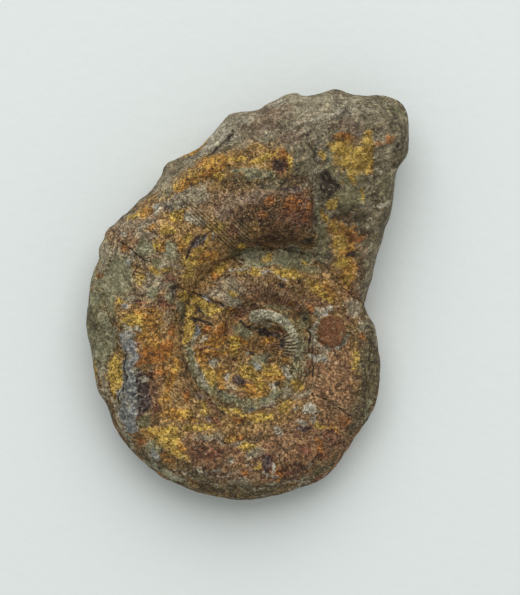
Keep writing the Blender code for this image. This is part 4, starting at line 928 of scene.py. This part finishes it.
def side_roughness(x, y, z):
    """Unevenness of the rim's wall in mm: a share of a soft noise, and one of the flat breaks of chips."""
    soft = round_wall(lambda way, height: rough(way, height, size=4.0, octaves=4, seed=96), x, y, z)
    flat = round_wall(lambda way, height: chips(way, height, size=5.0, seed=99), x, y, z)
    return SIDE_SOFT * soft + SIDE_CHIPS * (flat - CHIP_MEAN)


def wall_wander(x, y, closing):
    """(x, y) moved about over the rim's wall, where the stains would else run straight down as streaks.

    Each gets a noise over the wall, times the fourth power of how upright the wall stands.
    """
    amount = WALL_WANDER * (1.0 - closing**2) ** 4
    height = WALL_HEIGHT * (1.0 - closing)
    moves = (round_wall(lambda way, z: rough(way, z, size=7.0, octaves=3, seed=seed), x, y, height)
             for seed in (101, 105))
    return tuple(place + amount * move for place, move in zip((x, y), moves))


def stone_surface():
    """(points of the grid as rings x columns x 3 in mm, fields by name on the same grid, the two poles).

    A point's height is the rim's, plus its closing times how far the form stands above or below the rim.
    """
    edge = outline_points(COLUMNS)
    reach = np.hypot(edge[:, 0] - COIL_AXIS[0], edge[:, 1] - COIL_AXIS[1])
    rim_height = mid_height(edge[:, 0], edge[:, 1])
    inside = 1.0 - round_widths(edge) / reach
    angle = turn_angle(edge[:, 0], edge[:, 1])
    seam = SEAM_RADIUS * WHORL_RATE ** (angle - smooth_step(MOUTH_TURN, 1.0, angle)) / reach
    bowl = seam * np.arange(1, RINGS["bowl"] + 1)[:, None] / RINGS["bowl"]
    flank = seam + (inside - seam) * np.arange(1, RINGS["flank"] + 1)[:, None] / RINGS["flank"]
    x, y, closing = ring_places(edge, inside, np.vstack([bowl, flank]), RINGS["rim"])
    fields = top_parts(x, y, *wall_wander(x, y, closing))
    form, uneven = fields.pop("form"), fields.pop("uneven")
    height = rim_height + (form - rim_height) * closing + uneven * smooth_step(*RIM_FADE, closing)
    top = np.stack([x, y, height], axis=-1)
    back_inside = 1.0 - BACK_ROUND / reach
    back_flat = back_inside * np.arange(1, RINGS["back"] + 1)[:, None] / RINGS["back"]
    bx, by, back_closing = ring_places(edge, back_inside, back_flat, RINGS["under_rim"])
    back = np.stack([bx, by, rim_height + (back_height(bx, by) - rim_height) * back_closing], axis=-1)
    points = np.vstack([top, back[-2::-1]])
    # the underside's fields are the upper side's, mirrored; over the rim they blend into each other
    under_fields = top_parts(COIL_AXIS[0] * 2 - bx, by)
    blend = smooth_step(*BACK_FADE, back_closing)
    grown = {}
    for name, field in fields.items():
        under = field[-1] * (1 - blend) + under_fields[name] * blend
        grown[name] = np.vstack([field, under[-2::-1]])
    worn = back_height(bx, by)
    # painted shade under the stone: the back darkens where it comes down to the worn flat on the table
    grown["dirt_and_shade"][len(top):] = (worn[-2::-1] - BACK_DIRT_AND_SHADE) * blend[-2::-1]
    for name in ("crack", "seam"):
        grown[name][len(top):] = FAR_OFF
    for name in ("band", "crest", "comb", "disc"):
        grown[name][len(top):] = 0.0
    # the rim's wall is rough too: it moves in or out along its spoke, most where the wall stands upright
    wall = np.sqrt(np.clip(1.0 - np.vstack([closing, back_closing[-2::-1]]) ** 2, 0.0, 1.0))
    dent = np.clip(side_roughness(*np.moveaxis(points, -1, 0)), *DENT_SPAN)
    outward = points[..., :2] - COIL_AXIS
    outward /= np.linalg.norm(outward, axis=-1, keepdims=True)
    points[..., :2] += outward * (wall**4 * dent * DENT_SHARE)[..., None]
    # painted shade in the wall's dents: the wall is darker where it dents inwards
    grown["dirt_and_shade"] = grown["dirt_and_shade"] * (1 - wall**2) + dent * wall**2
    axis_x, axis_y = (np.full(1, place) for place in COIL_AXIS)
    middle = top_parts(axis_x, axis_y)
    pole_heights = (middle["form"] + middle["uneven"])[0], back_height(axis_x, axis_y)[0]
    poles = [(*COIL_AXIS, float(height)) for height in pole_heights]
    return points, grown, np.array(poles)


points, fields, poles = stone_surface()
low, high = points.reshape(-1, 3).min(axis=0), points.reshape(-1, 3).max(axis=0)
print("grid:", points.shape, "size, mm:", (high - low).round(2))

# %% [markdown]
# ## From the grid to a mesh
# The rows of the grid become quads, the last column joins the first, and a fan of triangles closes each
# pole. from_pydata takes the points and faces as they are. The fields go in as attributes, one number for
# each point, where the material can read them by name. A UV map could carry only two of them.


# %% The fossil's mesh
def closed_faces(rows, columns):
    """Quads between neighbouring rows and columns, and a fan from each pole to its row."""
    row, column = np.meshgrid(np.arange(rows - 1), np.arange(columns), indexing="ij")
    after = (column + 1) % columns
    quads = np.stack([row * columns + column, (row + 1) * columns + column,
                      (row + 1) * columns + after, row * columns + after], axis=-1).reshape(-1, 4)
    here = np.arange(columns)
    beside = (here + 1) % columns
    first, last = rows * columns, (rows - 1) * columns
    fans = [np.stack([np.full(columns, first), here, beside], axis=1),
            np.stack([np.full(columns, first + 1), last + beside, last + here], axis=1)]
    return quads.tolist() + fans[0].tolist() + fans[1].tolist()


def fossil_object(points, fields, poles):
    """The fossil as a smooth mesh in metres, on the CAD box's middle, with its fields as attributes."""
    places = np.vstack([points.reshape(-1, 3), poles])
    middle = (places.min(axis=0) + places.max(axis=0)) / 2
    places[:, :2] -= middle[:2]
    mesh = bpy.data.meshes.new("fossil_nautiloid")
    mesh.from_pydata((places * MM).tolist(), [], closed_faces(*points.shape[:2]))
    mesh.shade_smooth()
    for name, field in fields.items():
        ends = [field[0].mean(), field[-1].mean()]
        attribute = mesh.attributes.new(name, "FLOAT", "POINT")
        attribute.data.foreach_set("value", np.concatenate([field.ravel(), ends]).astype(np.float32))
    fossil = bpy.data.objects.new("fossil_nautiloid", mesh)
    bpy.context.scene.collection.objects.link(fossil)
    return fossil


fossil = fossil_object(points, fields, poles)
print("fossil:", len(fossil.data.polygons), "faces,", [round(v / MM, 2) for v in fossil.dimensions], "mm")

# %% [markdown]
# ## Colours and nodes
# Minerals are described by the colours a screen shows, as hex values. Cycles adds light in linear values, so
# one function turns a hex value to linear. Nodes are added by one small function too, which sets what it is
# given and links what comes from another node.


# %% Linear colours, and a node with its settings and links
def linear(hex_colour):
    """sRGB hex to linear RGBA: c / 12.92 up to 0.04045, above that ((c + 0.055) / 1.055) ^ 2.4."""
    levels = np.array([int(hex_colour[k : k + 2], 16) / 255 for k in (1, 3, 5)])
    return (*np.where(levels <= 0.04045, levels / 12.92, ((levels + 0.055) / 1.055) ** 2.4).tolist(), 1.0)


def add_node(tree, kind, inputs=None, output=None, **settings):
    """Adds a node, sets its properties and inputs, and returns its first output, or the one that is named.

    An input is called by its label, or by its number among the sockets that the settings leave switched on.
    It gets a link if it is given another node's output, and a value if it is given one.
    """
    node = tree.nodes.new("ShaderNode" + kind)
    for name, value in settings.items():
        setattr(node, name, value)
    live = [socket for socket in node.inputs if socket.enabled]
    for name, value in (inputs or {}).items():
        socket = live[name] if isinstance(name, int) else next(s for s in live if s.name == name)
        if isinstance(value, bpy.types.NodeSocket):
            tree.links.new(value, socket)
        else:
            socket.default_value = value
    return next((s for s in node.outputs if s.enabled and output in (None, s.name)), None)


print("limonite yellow, linear:", [round(v, 3) for v in linear("#9b7e3a")])

# %% [markdown]
# ## The weathered ironstone
# The real surface is dull and earthy: iron oxides have no gloss, so the roughness is near 0.85 and only a
# little light shines back. One material builds the minerals up in the order in which they formed. It starts
# with the object's own coordinates and the fields that the mesh carries, which the Attribute node reads.

# %% Start the material
ironstone = bpy.data.materials.new("weathered_ironstone")
ironstone.use_nodes = True
stone_tree = ironstone.node_tree
stone_tree.nodes.clear()
place = add_node(stone_tree, "TexCoord", output="Object")
laid = {name: add_node(stone_tree, "Attribute", attribute_name=name, output="Fac") for name in fields}
laid["matrix"] = add_node(stone_tree, "Math", {0: laid["matrix"], 1: laid["rock"]}, operation="MAXIMUM")
print("fields read:", len(laid))

# %% [markdown]
# Noise gives each mineral its shades. Each noise has its own size in millimetres, which a texture's Scale
# takes as repeats in a metre, and its own place in the fourth dimension, so that no two look alike. The rock
# split along its bedding, so its noise is stretched: the coordinates are turned, then squeezed.

# %% Noises
NOISES = {
    # name: (size in mm, detail, roughness, distortion)
    "cloud": (3.5, 4.0, 0.55, 0.5), "mottle": (1.6, 4.0, 0.70, 0.8), "grain": (0.7, 3.0, 0.75, 0.5),
    "fleck": (0.85, 2.0, 0.65, 1.2), "patches": (4.0, 3.0, 0.55, 0.0), "cracklet": (1.8, 4.0, 0.65, 1.4),
    "vein": (2.6, 4.0, 0.65, 1.0),
}
NOISE_APART = 1.7                 # how far apart the noises are in the fourth dimension
BEDDING_MM, BEDDING_TURN, BEDDING_STRETCH = 1.1, -0.42, (0.28, 1.0, 1.0)

noises = {}
for order, (name, (size, detail, roughness, distortion)) in enumerate(NOISES.items()):
    inputs = {"Vector": place, "W": NOISE_APART * order, "Scale": 1 / (size * MM), "Detail": detail,
              "Roughness": roughness, "Distortion": distortion}
    noises[name] = add_node(stone_tree, "TexNoise", inputs, noise_dimensions="4D")
turned = add_node(stone_tree, "Mapping", {"Vector": place, "Rotation": (0.0, 0.0, BEDDING_TURN)})
squeezed = add_node(stone_tree, "Mapping", {"Vector": turned, "Scale": BEDDING_STRETCH})
bedding = add_node(stone_tree, "TexNoise", {"Vector": squeezed, "Scale": 1 / (BEDDING_MM * MM),
                   "Detail": 4.0, "Roughness": 0.65, "Distortion": 0.6})
print("noises:", [*noises, "bedding"])

# %% [markdown]
# Under a lens the stone is made of grains, each with a shade of its own. A Voronoi texture gives every cell
# one random colour. Its coordinates are bent by a noise first, so that no grain is a neat polygon. The real
# grains are near 0.1 mm, too fine to show, so they are drawn three times as coarse.

# %% Mineral grains
GRAIN_MM, CLUMP_MM, SWIRL_MM, BEND_MM = 0.32, 0.80, 0.7, 0.9

swirl = add_node(stone_tree, "TexNoise", {"Vector": place, "Scale": 1 / (SWIRL_MM * MM)}, output="Color")
centred = add_node(stone_tree, "VectorMath", {0: swirl, 1: (0.5, 0.5, 0.5)}, operation="SUBTRACT")
bent = add_node(stone_tree, "VectorMath", {0: centred, 1: (BEND_MM * MM,) * 3, 2: place},
                operation="MULTIPLY_ADD")
cells = [add_node(stone_tree, "TexVoronoi", {"Vector": bent, "Scale": 1 / (size * MM)}, output="Color")
         for size in (GRAIN_MM, CLUMP_MM)]
grains, clumps = (add_node(stone_tree, "SeparateColor", {"Color": cell}, output="Red") for cell in cells)
print("grains, mm:", GRAIN_MM, CLUMP_MM)

# %% [markdown]
# All minerals share one field of tones from 0, dark, to 1, light: a weighted sum of the noises and grains.
# Rock takes the bedding's streaks in it. A second field says how lively the surface is: smooth places, such
# as clay and the round scar, get less of the grain and of the fine lines.

# %% Tones
TONE_WEIGHTS = (
    (grains, 0.11), (clumps, 0.09),
    (noises["cloud"], 0.24), (noises["mottle"], 0.22), (noises["grain"], 0.34),
)
TONE_SPAN, BEDDING_SHARE = (0.40, 0.66), 0.6
SMOOTH_PLACES = (("clay", 1.0), ("disc", 1.0), ("olive", 1.0), ("slate_film", 0.65), ("matrix", 0.50))


def weighted_sum(parts, start=0.0):
    """A chain of nodes: the start, plus each part times its weight."""
    total = start
    for part, weight in parts:
        total = add_node(stone_tree, "Math", {0: part, 1: weight, 2: total}, operation="MULTIPLY_ADD")
    return total


tones = weighted_sum(TONE_WEIGHTS)
streaked = add_node(stone_tree, "Mix", {"Factor": BEDDING_SHARE, "A": tones, "B": bedding})
tones = add_node(stone_tree, "Mix", {"Factor": laid["matrix"], "A": tones, "B": streaked})
tones = add_node(stone_tree, "MapRange", {"Value": tones, "From Min": TONE_SPAN[0],
                 "From Max": TONE_SPAN[1]}, interpolation_type="SMOOTHSTEP")
smooth = 0.0
for name, share in SMOOTH_PLACES:
    part = add_node(stone_tree, "Math", {0: laid[name], 1: share}, operation="MULTIPLY")
    smooth = add_node(stone_tree, "Math", {0: smooth, 1: part}, operation="MAXIMUM")
lively = add_node(stone_tree, "MapRange", {"Value": smooth, "From Min": 0.2, "From Max": 0.9, "To Min": 1.0,
                  "To Max": 0.35}, interpolation_type="SMOOTHSTEP")
print("smooth places:", dict(SMOOTH_PLACES))

# %% [markdown]
# ## Layers of minerals
# Each layer goes over the ones below where its amount passes a threshold. Its colour runs from a dark to a
# light one with the tones. The amount is the stain's field with a noise added, finer than the stain, which
# gives the ragged edges and stray flecks that minerals have. A small softness makes a crisp edge.

# %% Mineral colours
SHELL, ROCK = ("#5c4529", "#9c7c4e"), ("#665c48", "#a59a7f")
MINERALS = (
    # name, dark colour, light colour, raggedness in mm, how much lies outside the stains, softness, most
    ("tan", "#6e543a", "#ae8e6a", 2.0, 0.04, 0.35, 0.85),
    ("mauve", "#6c5846", "#a7907b", 1.8, 0.02, 0.40, 0.85),
    # dark brown earth, and painted shade on the tube's underside and along the seam
    ("umber_and_shade", "#3b291b", "#6b4d34", 1.8, -0.04, 0.35, 0.85),
    ("ochre", "#7f5f36", "#c29a60", 2.0, 0.02, 0.40, 0.85),
    ("sienna", "#71513a", "#ab8159", 1.8, 0.00, 0.38, 0.88),
    ("pale_rock", "#8b8069", "#bdb297", 2.2, 0.00, 0.40, 0.80),
    ("haematite", "#4e2f22", "#8c5a43", 1.3, -0.03, 0.28, 0.85),
    ("purple", "#33292a", "#6e5c5a", 1.2, -0.06, 0.28, 0.92),
    # olive-grey grime, and painted shade on the rims, in grooves and under ledges
    ("grime_and_shade", "#403a2a", "#70674d", 1.6, -0.05, 0.35, 0.80),
    ("olive", "#645e43", "#969068", 1.6, -0.06, 0.30, 0.88),
    ("clay", "#777559", "#bdb894", 1.6, 0.00, 0.30, 0.85),
    ("goethite", "#875d28", "#d49b46", 1.2, 0.02, 0.32, 0.90),
    ("rust", "#6f401c", "#c07a37", 1.1, 0.02, 0.28, 0.80),
    ("limonite", "#90702f", "#dfbb5b", 1.0, 0.02, 0.30, 0.92),
    ("slate_film", "#676c6d", "#b9b8b0", 1.3, -0.02, 0.26, 0.90),
    ("calcite", "#90866f", "#d0c8b4", 1.0, -0.08, 0.28, 0.85),
    ("manganese", "#221c18", "#4a4038", 1.0, -0.08, 0.26, 0.95),
)
EDGE_WEIGHT, GRAIN_WEIGHT = 1.7, 0.30   # how much the edge's noise and the grains fray a stain
EDGE_PLACE, EDGE_APART = 20.0, 3.1      # the edges' noises in the fourth dimension: the first, and the gap
BAND_STRENGTH = 0.86              # the clay on the umbilicus's wall, as a share of a full stain


def lay_over(under, amount, dark, light, span, most):
    """A colour laid over `under`: its share is `most` times a smooth step of the amount across the span."""
    share = add_node(stone_tree, "MapRange", {"Value": amount, "From Min": span[0], "From Max": span[1],
                     "To Max": most}, interpolation_type="SMOOTHSTEP")
    tone = add_node(stone_tree, "Mix", {"Factor": tones, "A": linear(dark), "B": linear(light)},
                    data_type="RGBA")
    return add_node(stone_tree, "Mix", {"Factor": share, "A": under, "B": tone}, data_type="RGBA")


stain_on_wall = add_node(stone_tree, "Math", {0: laid["band"], 1: BAND_STRENGTH}, operation="MULTIPLY")
laid["olive"] = add_node(stone_tree, "Math", {0: laid["olive"], 1: stain_on_wall}, operation="MAXIMUM")
rock_edge = weighted_sum([(noises["mottle"], 1.0)], start=laid["matrix"])
# no noise is below 0, so the shell's own colour is everywhere
colour = lay_over(linear(SHELL[0]), noises["mottle"], *SHELL, span=(-1.0, 0.0), most=1.0)
colour = lay_over(colour, rock_edge, *ROCK, span=(0.8, 1.2), most=1.0)
for order, (name, dark, light, ragged, stray, soft, most) in enumerate(MINERALS):
    inputs = {"Vector": place, "W": EDGE_PLACE + EDGE_APART * order, "Scale": 1 / (ragged * MM),
              "Detail": 5.0, "Roughness": 0.7, "Distortion": 0.8}
    edge = add_node(stone_tree, "TexNoise", inputs, noise_dimensions="4D")
    amount = weighted_sum([(edge, EDGE_WEIGHT), (grains, GRAIN_WEIGHT)], start=laid[name])
    middle = 0.5 + 0.5 * EDGE_WEIGHT + 0.5 * GRAIN_WEIGHT - stray
    colour = lay_over(colour, amount, dark, light, span=(middle - soft, middle + soft), most=most)
print("minerals laid:", [mineral[0] for mineral in MINERALS])

# %% [markdown]
# ## Worn crest, comb, round scar, ribs and stripes
# The shell's own sculpture is too fine for the mesh: ribs half a millimetre apart. They are waves, of the
# angle round the coil axis for the ribs, and of the way along one direction for the body chamber's stripes,
# which are its growth lines. The noise in them makes them wander and break off. The waves, like the comb's
# ribs, are drawn as painted shade in their valleys and painted highlight on their crests.

# %% Sculpture
CREST, DISC_COLOURS = ("#a19b7e", "#d9d3b8"), ("#6c452d", "#8b5e3e")
# the pale colour is pale mineral in veins and flecks, and painted highlight on rib crests; the rib-valley
# colour is painted shade
DIRT_AND_SHADE, PALE_AND_HIGHLIGHT, CRACK, RIB_VALLEY_SHADE = "#2a2016", "#bdb18e", "#1a120d", "#432b1d"
RIBS, STRIPE_MM = 120, 0.60       # both are coarser than the real ones, which are too fine to show
STRIPE_WAY = (0.67, 0.74, 0.0)    # the direction across the stripes
RIB_WANDER, STRIPE_WANDER = 3.0, 1.1    # how far noise moves a wave, in radians
SCULPTURE = {"ribbed": 0.8, "striped": 1.2}     # how strong the waves are

spread = weighted_sum([(noises["mottle"], 1.2)], start=laid["crest"])
colour = lay_over(colour, spread, *CREST, span=(0.88, 1.12), most=0.92)
# painted highlight on the comb's ribs, and painted shade between them
colour = lay_over(colour, laid["comb"], PALE_AND_HIGHLIGHT, PALE_AND_HIGHLIGHT, span=(0.1, 0.7), most=0.50)
comb_gap_shade = add_node(stone_tree, "Math", {0: laid["comb"], 1: -1.0}, operation="MULTIPLY")
colour = lay_over(colour, comb_gap_shade, DIRT_AND_SHADE, DIRT_AND_SHADE, span=(0.1, 0.6), most=0.65)
colour = lay_over(colour, laid["disc"], *DISC_COLOURS, span=(0.3, 0.7), most=0.92)
from_axis = add_node(stone_tree, "VectorMath", {0: place, 1: (COIL_AXIS[0] * MM, COIL_AXIS[1] * MM, 0.0)},
                     operation="SUBTRACT")
apart = add_node(stone_tree, "SeparateXYZ", {"Vector": from_axis}, output="X").node
round_way = add_node(stone_tree, "Math", {0: apart.outputs["Y"], 1: apart.outputs["X"]}, operation="ARCTAN2")
stripe_way = add_node(stone_tree, "VectorMath", {0: place, 1: STRIPE_WAY}, output="Value",
                      operation="DOT_PRODUCT")
sculpture = 0.0
for name, way, waves, wander in (("ribbed", round_way, RIBS, RIB_WANDER),
                                 ("striped", stripe_way, 2 * np.pi / (STRIPE_MM * MM), STRIPE_WANDER)):
    aside = add_node(stone_tree, "Math", {0: noises["mottle"], 1: wander}, operation="MULTIPLY")
    phase = add_node(stone_tree, "Math", {0: way, 1: waves, 2: aside}, operation="MULTIPLY_ADD")
    wave = add_node(stone_tree, "Math", {0: phase}, operation="SINE")
    shown = add_node(stone_tree, "MapRange", {"Value": laid[name], "From Min": 0.15, "From Max": 0.75,
                     "To Max": SCULPTURE[name]})
    sculpture = add_node(stone_tree, "Math", {0: wave, 1: shown, 2: sculpture}, operation="MULTIPLY_ADD")
# painted shade in the waves' valleys, and painted highlight on their crests
valley_shade = add_node(stone_tree, "Math", {0: sculpture, 1: -1.0}, operation="MULTIPLY")
colour = lay_over(colour, valley_shade, RIB_VALLEY_SHADE, RIB_VALLEY_SHADE, span=(0.0, 1.0), most=0.34)
colour = lay_over(colour, sculpture, PALE_AND_HIGHLIGHT, PALE_AND_HIGHLIGHT, span=(0.3, 1.0), most=0.22)
print("ribs are", round(2 * np.pi * SEAM_RADIUS / RIBS, 2), "mm apart at the seam")

# %% [markdown]
# ## Dirt and painted shade, cracklets and cracks
# Fine cracklets and veins are lines where a noise crosses its middle value. Dirt and painted shade lie where
# the mesh's own unevenness is low: in hollows, grooves, the wall's dents and the back's lowest places. The
# long cracks and the seam use the distance that the mesh carries, so they stay thin and crisp however coarse
# the grid is.

# %% Lines, dirt and painted shade
CRACK_HALF_WIDTH, FULL_AT = 0.16, 0.06  # mm from a crack's middle: where it ends, and where it is darkest
FINE_LINES = (
    # noise, half width in the noise's own values, most, colour
    ("vein", 0.022, 0.28, PALE_AND_HIGHLIGHT), ("cracklet", 0.030, 0.60, DIRT_AND_SHADE),
)
LONG_LINES = (
    # field, half width in mm, raggedness in mm, most, colour
    ("seam", 0.50, 1.8, 0.55, DIRT_AND_SHADE), ("crack", CRACK_HALF_WIDTH, 0.0, 0.9, CRACK),
)

for name, half_width, most, line_colour in FINE_LINES:
    off_middle = add_node(stone_tree, "Math", {0: noises[name], 1: 0.5}, operation="SUBTRACT")
    off_middle = add_node(stone_tree, "Math", {0: off_middle}, operation="ABSOLUTE")
    line = add_node(stone_tree, "MapRange", {"Value": off_middle, "From Min": half_width, "From Max": 0.0},
                    interpolation_type="SMOOTHSTEP")
    patchy = add_node(stone_tree, "MapRange", {"Value": noises["patches"], "From Min": 0.42,
                      "From Max": 0.60})
    for share in (patchy, lively):
        line = add_node(stone_tree, "Math", {0: line, 1: share}, operation="MULTIPLY")
    colour = lay_over(colour, line, line_colour, line_colour, span=(0.0, 1.0), most=most)
cracklets = line
# painted shade and dirt: darker where the mesh's relief is low
hollow = weighted_sum([(noises["mottle"], 1.2)], start=laid["dirt_and_shade"])
colour = lay_over(colour, hollow, DIRT_AND_SHADE, DIRT_AND_SHADE, span=(0.42, -0.35), most=0.58)
for name, half_width, ragged, most, line_colour in LONG_LINES:
    far = add_node(stone_tree, "Math", {0: laid[name]}, operation="ABSOLUTE")
    far = weighted_sum([(noises["mottle"], ragged)], start=far)
    shift = 0.5 * ragged
    span = (shift + half_width, shift + FULL_AT)
    colour = lay_over(colour, far, line_colour, line_colour, span=span, most=most)
print("cracks are drawn", CRACK_HALF_WIDTH * 2, "mm wide")

# %% [markdown]
# ## Grain and relief
# Last, each grain is a little lighter or darker than its neighbours, and the same grains, noises and lines
# make a fine relief of a tenth of a millimetre or two, which the Bump node turns into tilted normals.

# %% Grain, bump and shader
FLECK_SPAN = (0.58, 0.70)         # how strong the fleck noise is where pale flecks start and are full
SCRATCH_HALF_WIDTH = 0.05         # how far from its middle value the same noise still draws a dark scratch
DEPTH_WEIGHTS = ((grains, 0.45), (clumps, 0.25), (noises["grain"], 0.6))
RELIEF_WEIGHTS = ((noises["mottle"], 0.8), (cracklets, -0.6), (noises["fleck"], 1.0), (sculpture, 0.4))
RELIEF_MM = 0.6                   # height of the bump where the relief is 1

colour = lay_over(colour, noises["fleck"], PALE_AND_HIGHLIGHT, PALE_AND_HIGHLIGHT, span=FLECK_SPAN, most=0.45)
dark_span = (1 - FLECK_SPAN[0], 1 - FLECK_SPAN[1])
colour = lay_over(colour, noises["fleck"], DIRT_AND_SHADE, DIRT_AND_SHADE, span=dark_span, most=0.35)
off_middle = add_node(stone_tree, "Math", {0: noises["fleck"], 1: 0.5}, operation="SUBTRACT")
scratches = add_node(stone_tree, "Math", {0: off_middle}, operation="ABSOLUTE")
colour = lay_over(colour, scratches, DIRT_AND_SHADE, DIRT_AND_SHADE, span=(SCRATCH_HALF_WIDTH, 0.0), most=0.48)
depth = weighted_sum(DEPTH_WEIGHTS)
shade = add_node(stone_tree, "MapRange", {"Value": depth, "From Min": 0.36, "From Max": 0.94, "To Min": 0.70,
                 "To Max": 1.62}, interpolation_type="SMOOTHSTEP")
shaded = add_node(stone_tree, "VectorMath", {0: colour, "Scale": shade}, operation="SCALE")
colour = add_node(stone_tree, "Mix", {"Factor": lively, "A": colour, "B": shaded}, data_type="RGBA")
relief = weighted_sum(((depth, 1.2), *RELIEF_WEIGHTS))
normal = add_node(stone_tree, "Bump", {"Height": relief, "Distance": RELIEF_MM * MM, "Strength": 0.9})
shader = add_node(stone_tree, "BsdfPrincipled", {"Base Color": colour, "Roughness": 0.85, "IOR": 1.5,
                  "Specular IOR Level": 0.25, "Normal": normal})
add_node(stone_tree, "OutputMaterial", {"Surface": shader})
fossil.data.materials.append(ironstone)
print("weathered ironstone:", len(stone_tree.nodes), "nodes")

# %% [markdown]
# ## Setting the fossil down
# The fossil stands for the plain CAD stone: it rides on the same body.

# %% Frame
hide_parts("nautiloid_fossil")
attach(fossil, "root")

# %% [markdown]
# ## Paper, light and camera
# The stone lies on pale drawing paper in a bright room. One large soft light, up and beyond the stone's top,
# gives its relief, and the pale world fills the shadows. The camera looks straight down from 900 mm, which
# keeps the stone's proportions. The paper's tooth is drawn ten times as coarse as the real one, so that it
# shows at all.

# %% Paper
PAPER_SIDE = 3.0                  # m: large enough to fill every view
PAPER_COLOUR = "#d9dedc"
TOOTH_MM, TOOTH_DEPTH_MM = 2.5, 0.25


def paper_object():
    """A flat square of paper, its fine tooth left to the material."""
    half = PAPER_SIDE / 2
    mesh = bpy.data.meshes.new("paper")
    corners = [(-half, -half, 0), (half, -half, 0), (half, half, 0), (-half, half, 0)]
    mesh.from_pydata(corners, [], [(0, 1, 2, 3)])
    paper = bpy.data.objects.new("paper", mesh)
    bpy.context.scene.collection.objects.link(paper)
    material = bpy.data.materials.new("drawing_paper")
    material.use_nodes = True
    tree = material.node_tree
    tree.nodes.clear()
    place = add_node(tree, "TexCoord", output="Object")
    tooth = add_node(tree, "TexNoise", {"Vector": place, "Scale": 1 / (TOOTH_MM * MM), "Detail": 3.0})
    normal = add_node(tree, "Bump", {"Height": tooth, "Distance": TOOTH_DEPTH_MM * MM, "Strength": 0.35})
    shader = add_node(tree, "BsdfPrincipled", {"Base Color": linear(PAPER_COLOUR), "Roughness": 0.9,
                      "Normal": normal, "Specular IOR Level": 0.1})
    add_node(tree, "OutputMaterial", {"Surface": shader})
    mesh.materials.append(material)
    return paper


paper = paper_object()

# %% Light
LIGHT_PLACE, LIGHT_AIM = (0.0, 0.83, 1.08), (0.0, 0.0, 0.0)     # m
LIGHT_SIDE, LIGHT_POWER = 1.5, 17.2     # m and W
WORLD_COLOUR, WORLD_STRENGTH = (0.97, 1.0, 0.99, 1.0), 0.54


def aimed_turn(place, aim):
    """The turn that points an object's -Z from place to aim, its +Y as near to the scene's +Y as it can be.

    Its back is the way from aim to place, its right is +Y crossed with that, and its top the cross of both.
    """
    back = np.array(place) - np.array(aim)
    back /= np.linalg.norm(back)
    right = np.cross((0.0, 1.0, 0.0), back)
    right /= np.linalg.norm(right)
    return Matrix(np.stack([right, np.cross(back, right), back], axis=1).tolist()).to_euler()


light = bpy.data.lights.new("softbox", "AREA")
light.shape = "SQUARE"
light.size = LIGHT_SIDE
light.energy = LIGHT_POWER
softbox = bpy.data.objects.new("softbox", light)
softbox.location = LIGHT_PLACE
softbox.rotation_euler = aimed_turn(LIGHT_PLACE, LIGHT_AIM)
bpy.context.scene.collection.objects.link(softbox)
world = bpy.data.worlds.new("pale_room")
world.use_nodes = True
background = world.node_tree.nodes["Background"]
background.inputs["Color"].default_value = WORLD_COLOUR
background.inputs["Strength"].default_value = WORLD_STRENGTH
bpy.context.scene.world = world
bpy.context.scene.view_settings.view_transform = "Standard"
print("softbox at", LIGHT_PLACE, "m")

# %% Camera
VIEW_HEIGHT, CAMERA_DISTANCE = 119.0, 900.0     # mm that the frame's height takes in, and how far off it is
VIEW_MIDDLE = (2.5, -0.5, 10.0)                 # mm
SENSOR = 36.0                                   # mm
CLIP = (0.01, 20.0)                             # m

lens = bpy.data.cameras.new("straight_down")
lens.sensor_width = SENSOR
lens.lens = SENSOR * CAMERA_DISTANCE / VIEW_HEIGHT
lens.clip_start, lens.clip_end = CLIP
camera = bpy.data.objects.new("straight_down", lens)
camera.location = (VIEW_MIDDLE[0] * MM, VIEW_MIDDLE[1] * MM, (VIEW_MIDDLE[2] + CAMERA_DISTANCE) * MM)
bpy.context.scene.collection.objects.link(camera)
bpy.context.scene.camera = camera
print("lens, mm:", round(lens.lens, 1))
